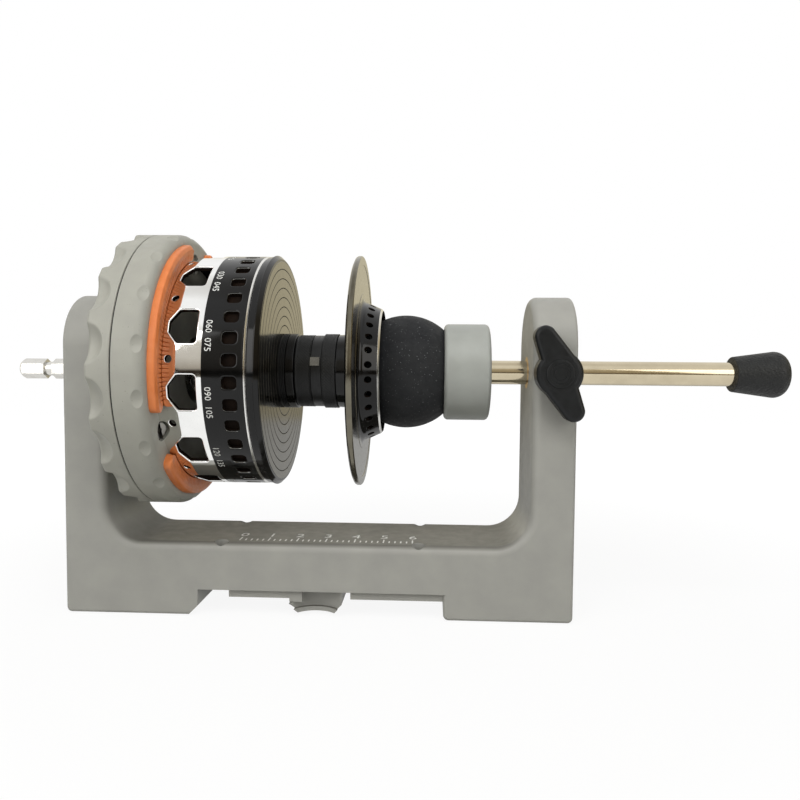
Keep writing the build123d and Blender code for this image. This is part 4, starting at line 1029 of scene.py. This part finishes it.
def make_world():
    """Even studio surround: white to the camera; metal sees white above, walls at eye level that are
    darker on the left than on the right, a dark line at the horizon and a bright wall behind."""
    left = [(0.0, "ffffff"), (0.40, "f4f3ee"), (0.435, "8d857a"), (0.45, "1c1814"), (0.497, "1c1814"),
            (0.515, "a29b90"), (0.60, "c8c3bb"), (0.76, "d6d2cb"), (0.84, "ffffff"), (0.95, "ffffff"),
            (1.0, "a8a298")]
    right = [(0.0, "ffffff"), (0.40, "f4f3ee"), (0.455, "cfc3aa"), (0.475, "4c3f31"), (0.505, "4c3f31"),
             (0.520, "94846a"), (0.60, "a7997b"), (0.75, "bcae90"), (0.86, "ffffff"), (1.0, "ffffff")]
    behind = [(0.0, "b0a890"), (0.49, "b0a890"), (0.52, "e3d9ba"), (0.62, "e8e0c6"), (0.78, "ffffff"),
              (1.0, "ffffff")]
    world = bpy.data.worlds.new("studio")
    bpy.context.scene.world = world
    world.use_nodes = True
    w = Nodes(world.node_tree)
    w.tree.nodes.clear()
    ahead = w.add("ShaderNodeTexCoord").outputs["Generated"]
    height = w.ranged(w.part(ahead, "Z"), -1, 1)

    def ramp_of(stops):
        ramp = w.add("ShaderNodeValToRGB")
        w.join(height, ramp.inputs["Fac"])
        elements = ramp.color_ramp.elements
        for k, (spot, tone) in enumerate(stops):
            stop = elements[k] if k < 2 else elements.new(spot)
            stop.position = spot
            stop.color = shade(tone)
        return ramp.outputs["Color"]

    def background(strength):
        node = w.add("ShaderNodeBackground")
        node.inputs["Color"].default_value = (1, 1, 1, 1)
        node.inputs["Strength"].default_value = strength
        return node

    plain, seen, white = background(0.17), background(1.0), background(1.0)
    sides = w.mixed(w.ranged(w.part(ahead, "X"), -0.5, 0.5), ramp_of(left), ramp_of(right))
    whole = w.mixed(w.ranged(w.part(ahead, "Y"), 0.3, 0.8), sides, ramp_of(behind))
    w.join(whole, seen.inputs["Color"])
    rays = w.add("ShaderNodeLightPath").outputs
    mirrored = w.fed("ShaderNodeMath", rays["Is Glossy Ray"], rays["Is Transmission Ray"], operation="MAXIMUM")
    light = w.fed("ShaderNodeMixShader", mirrored, plain.outputs[0], seen.outputs[0])
    shown = w.fed("ShaderNodeMixShader", rays["Is Camera Ray"], light, white.outputs[0])
    w.join(shown, w.add("ShaderNodeOutputWorld").inputs["Surface"])


def stand_at(thing, side, up, ahead, place):
    """Sets a lamp or a camera at a place, looking ahead."""
    turn = np.eye(4)
    turn[:3, 0], turn[:3, 1], turn[:3, 2], turn[:3, 3] = side, up, -ahead, place
    thing.matrix_world = Matrix(turn)


def make_lamp(name, place, size, power, mirrored=True):
    """Square soft lamp that looks at the middle of the object; mirrored says whether metal shows it."""
    lamp = bpy.data.lights.new(name, "AREA")
    lamp.shape = "SQUARE"
    lamp.size = size
    lamp.energy = power
    holder = put(name, lamp)
    holder.visible_glossy = mirrored
    aim = np.array([0, 0, 0.06]) - np.array(place)
    aim /= np.linalg.norm(aim)
    side = np.cross(aim, (0, 0, 1))
    side /= np.linalg.norm(side)
    stand_at(holder, side, np.cross(side, aim), aim, place)


def make_camera():
    """The photograph's viewpoint: yaw, pitch and roll in radians and the eye in millimetres."""
    eye = np.array([12.93, -249.83, 87.04])
    yaw, pitch, roll = -0.0446, 0.0529, 0.0082
    ahead = np.array([np.sin(yaw) * np.cos(pitch), np.cos(yaw) * np.cos(pitch), -np.sin(pitch)])
    right = np.array([np.cos(yaw), -np.sin(yaw), 0.0])
    up = np.cross(right, ahead)
    side = np.cos(roll) * right + np.sin(roll) * up
    top = -np.sin(roll) * right + np.cos(roll) * up
    data = bpy.data.cameras.new("camera")
    data.sensor_width = 36.0
    data.lens = 696.4 * data.sensor_width / 800
    data.clip_start = 0.01
    camera = put("camera", data)
    stand_at(camera, side, top, ahead, eye * MM)
    bpy.context.scene.camera = camera


make_floor()
make_world()
make_lamp("key", (0.0, -0.30, 0.50), 0.35, 2.1, mirrored=False)
make_lamp("left", (-0.6, -0.6, 0.35), 0.6, 3.2)
make_lamp("right", (0.6, -0.6, 0.4), 0.6, 2.4)
make_lamp("back_left", (-0.8, 0.6, 0.12), 0.6, 1.8, mirrored=False)
make_lamp("back_right", (0.8, 0.6, 0.12), 0.6, 1.8, mirrored=False)
make_camera()
bpy.context.scene.view_settings.view_transform = "Standard"
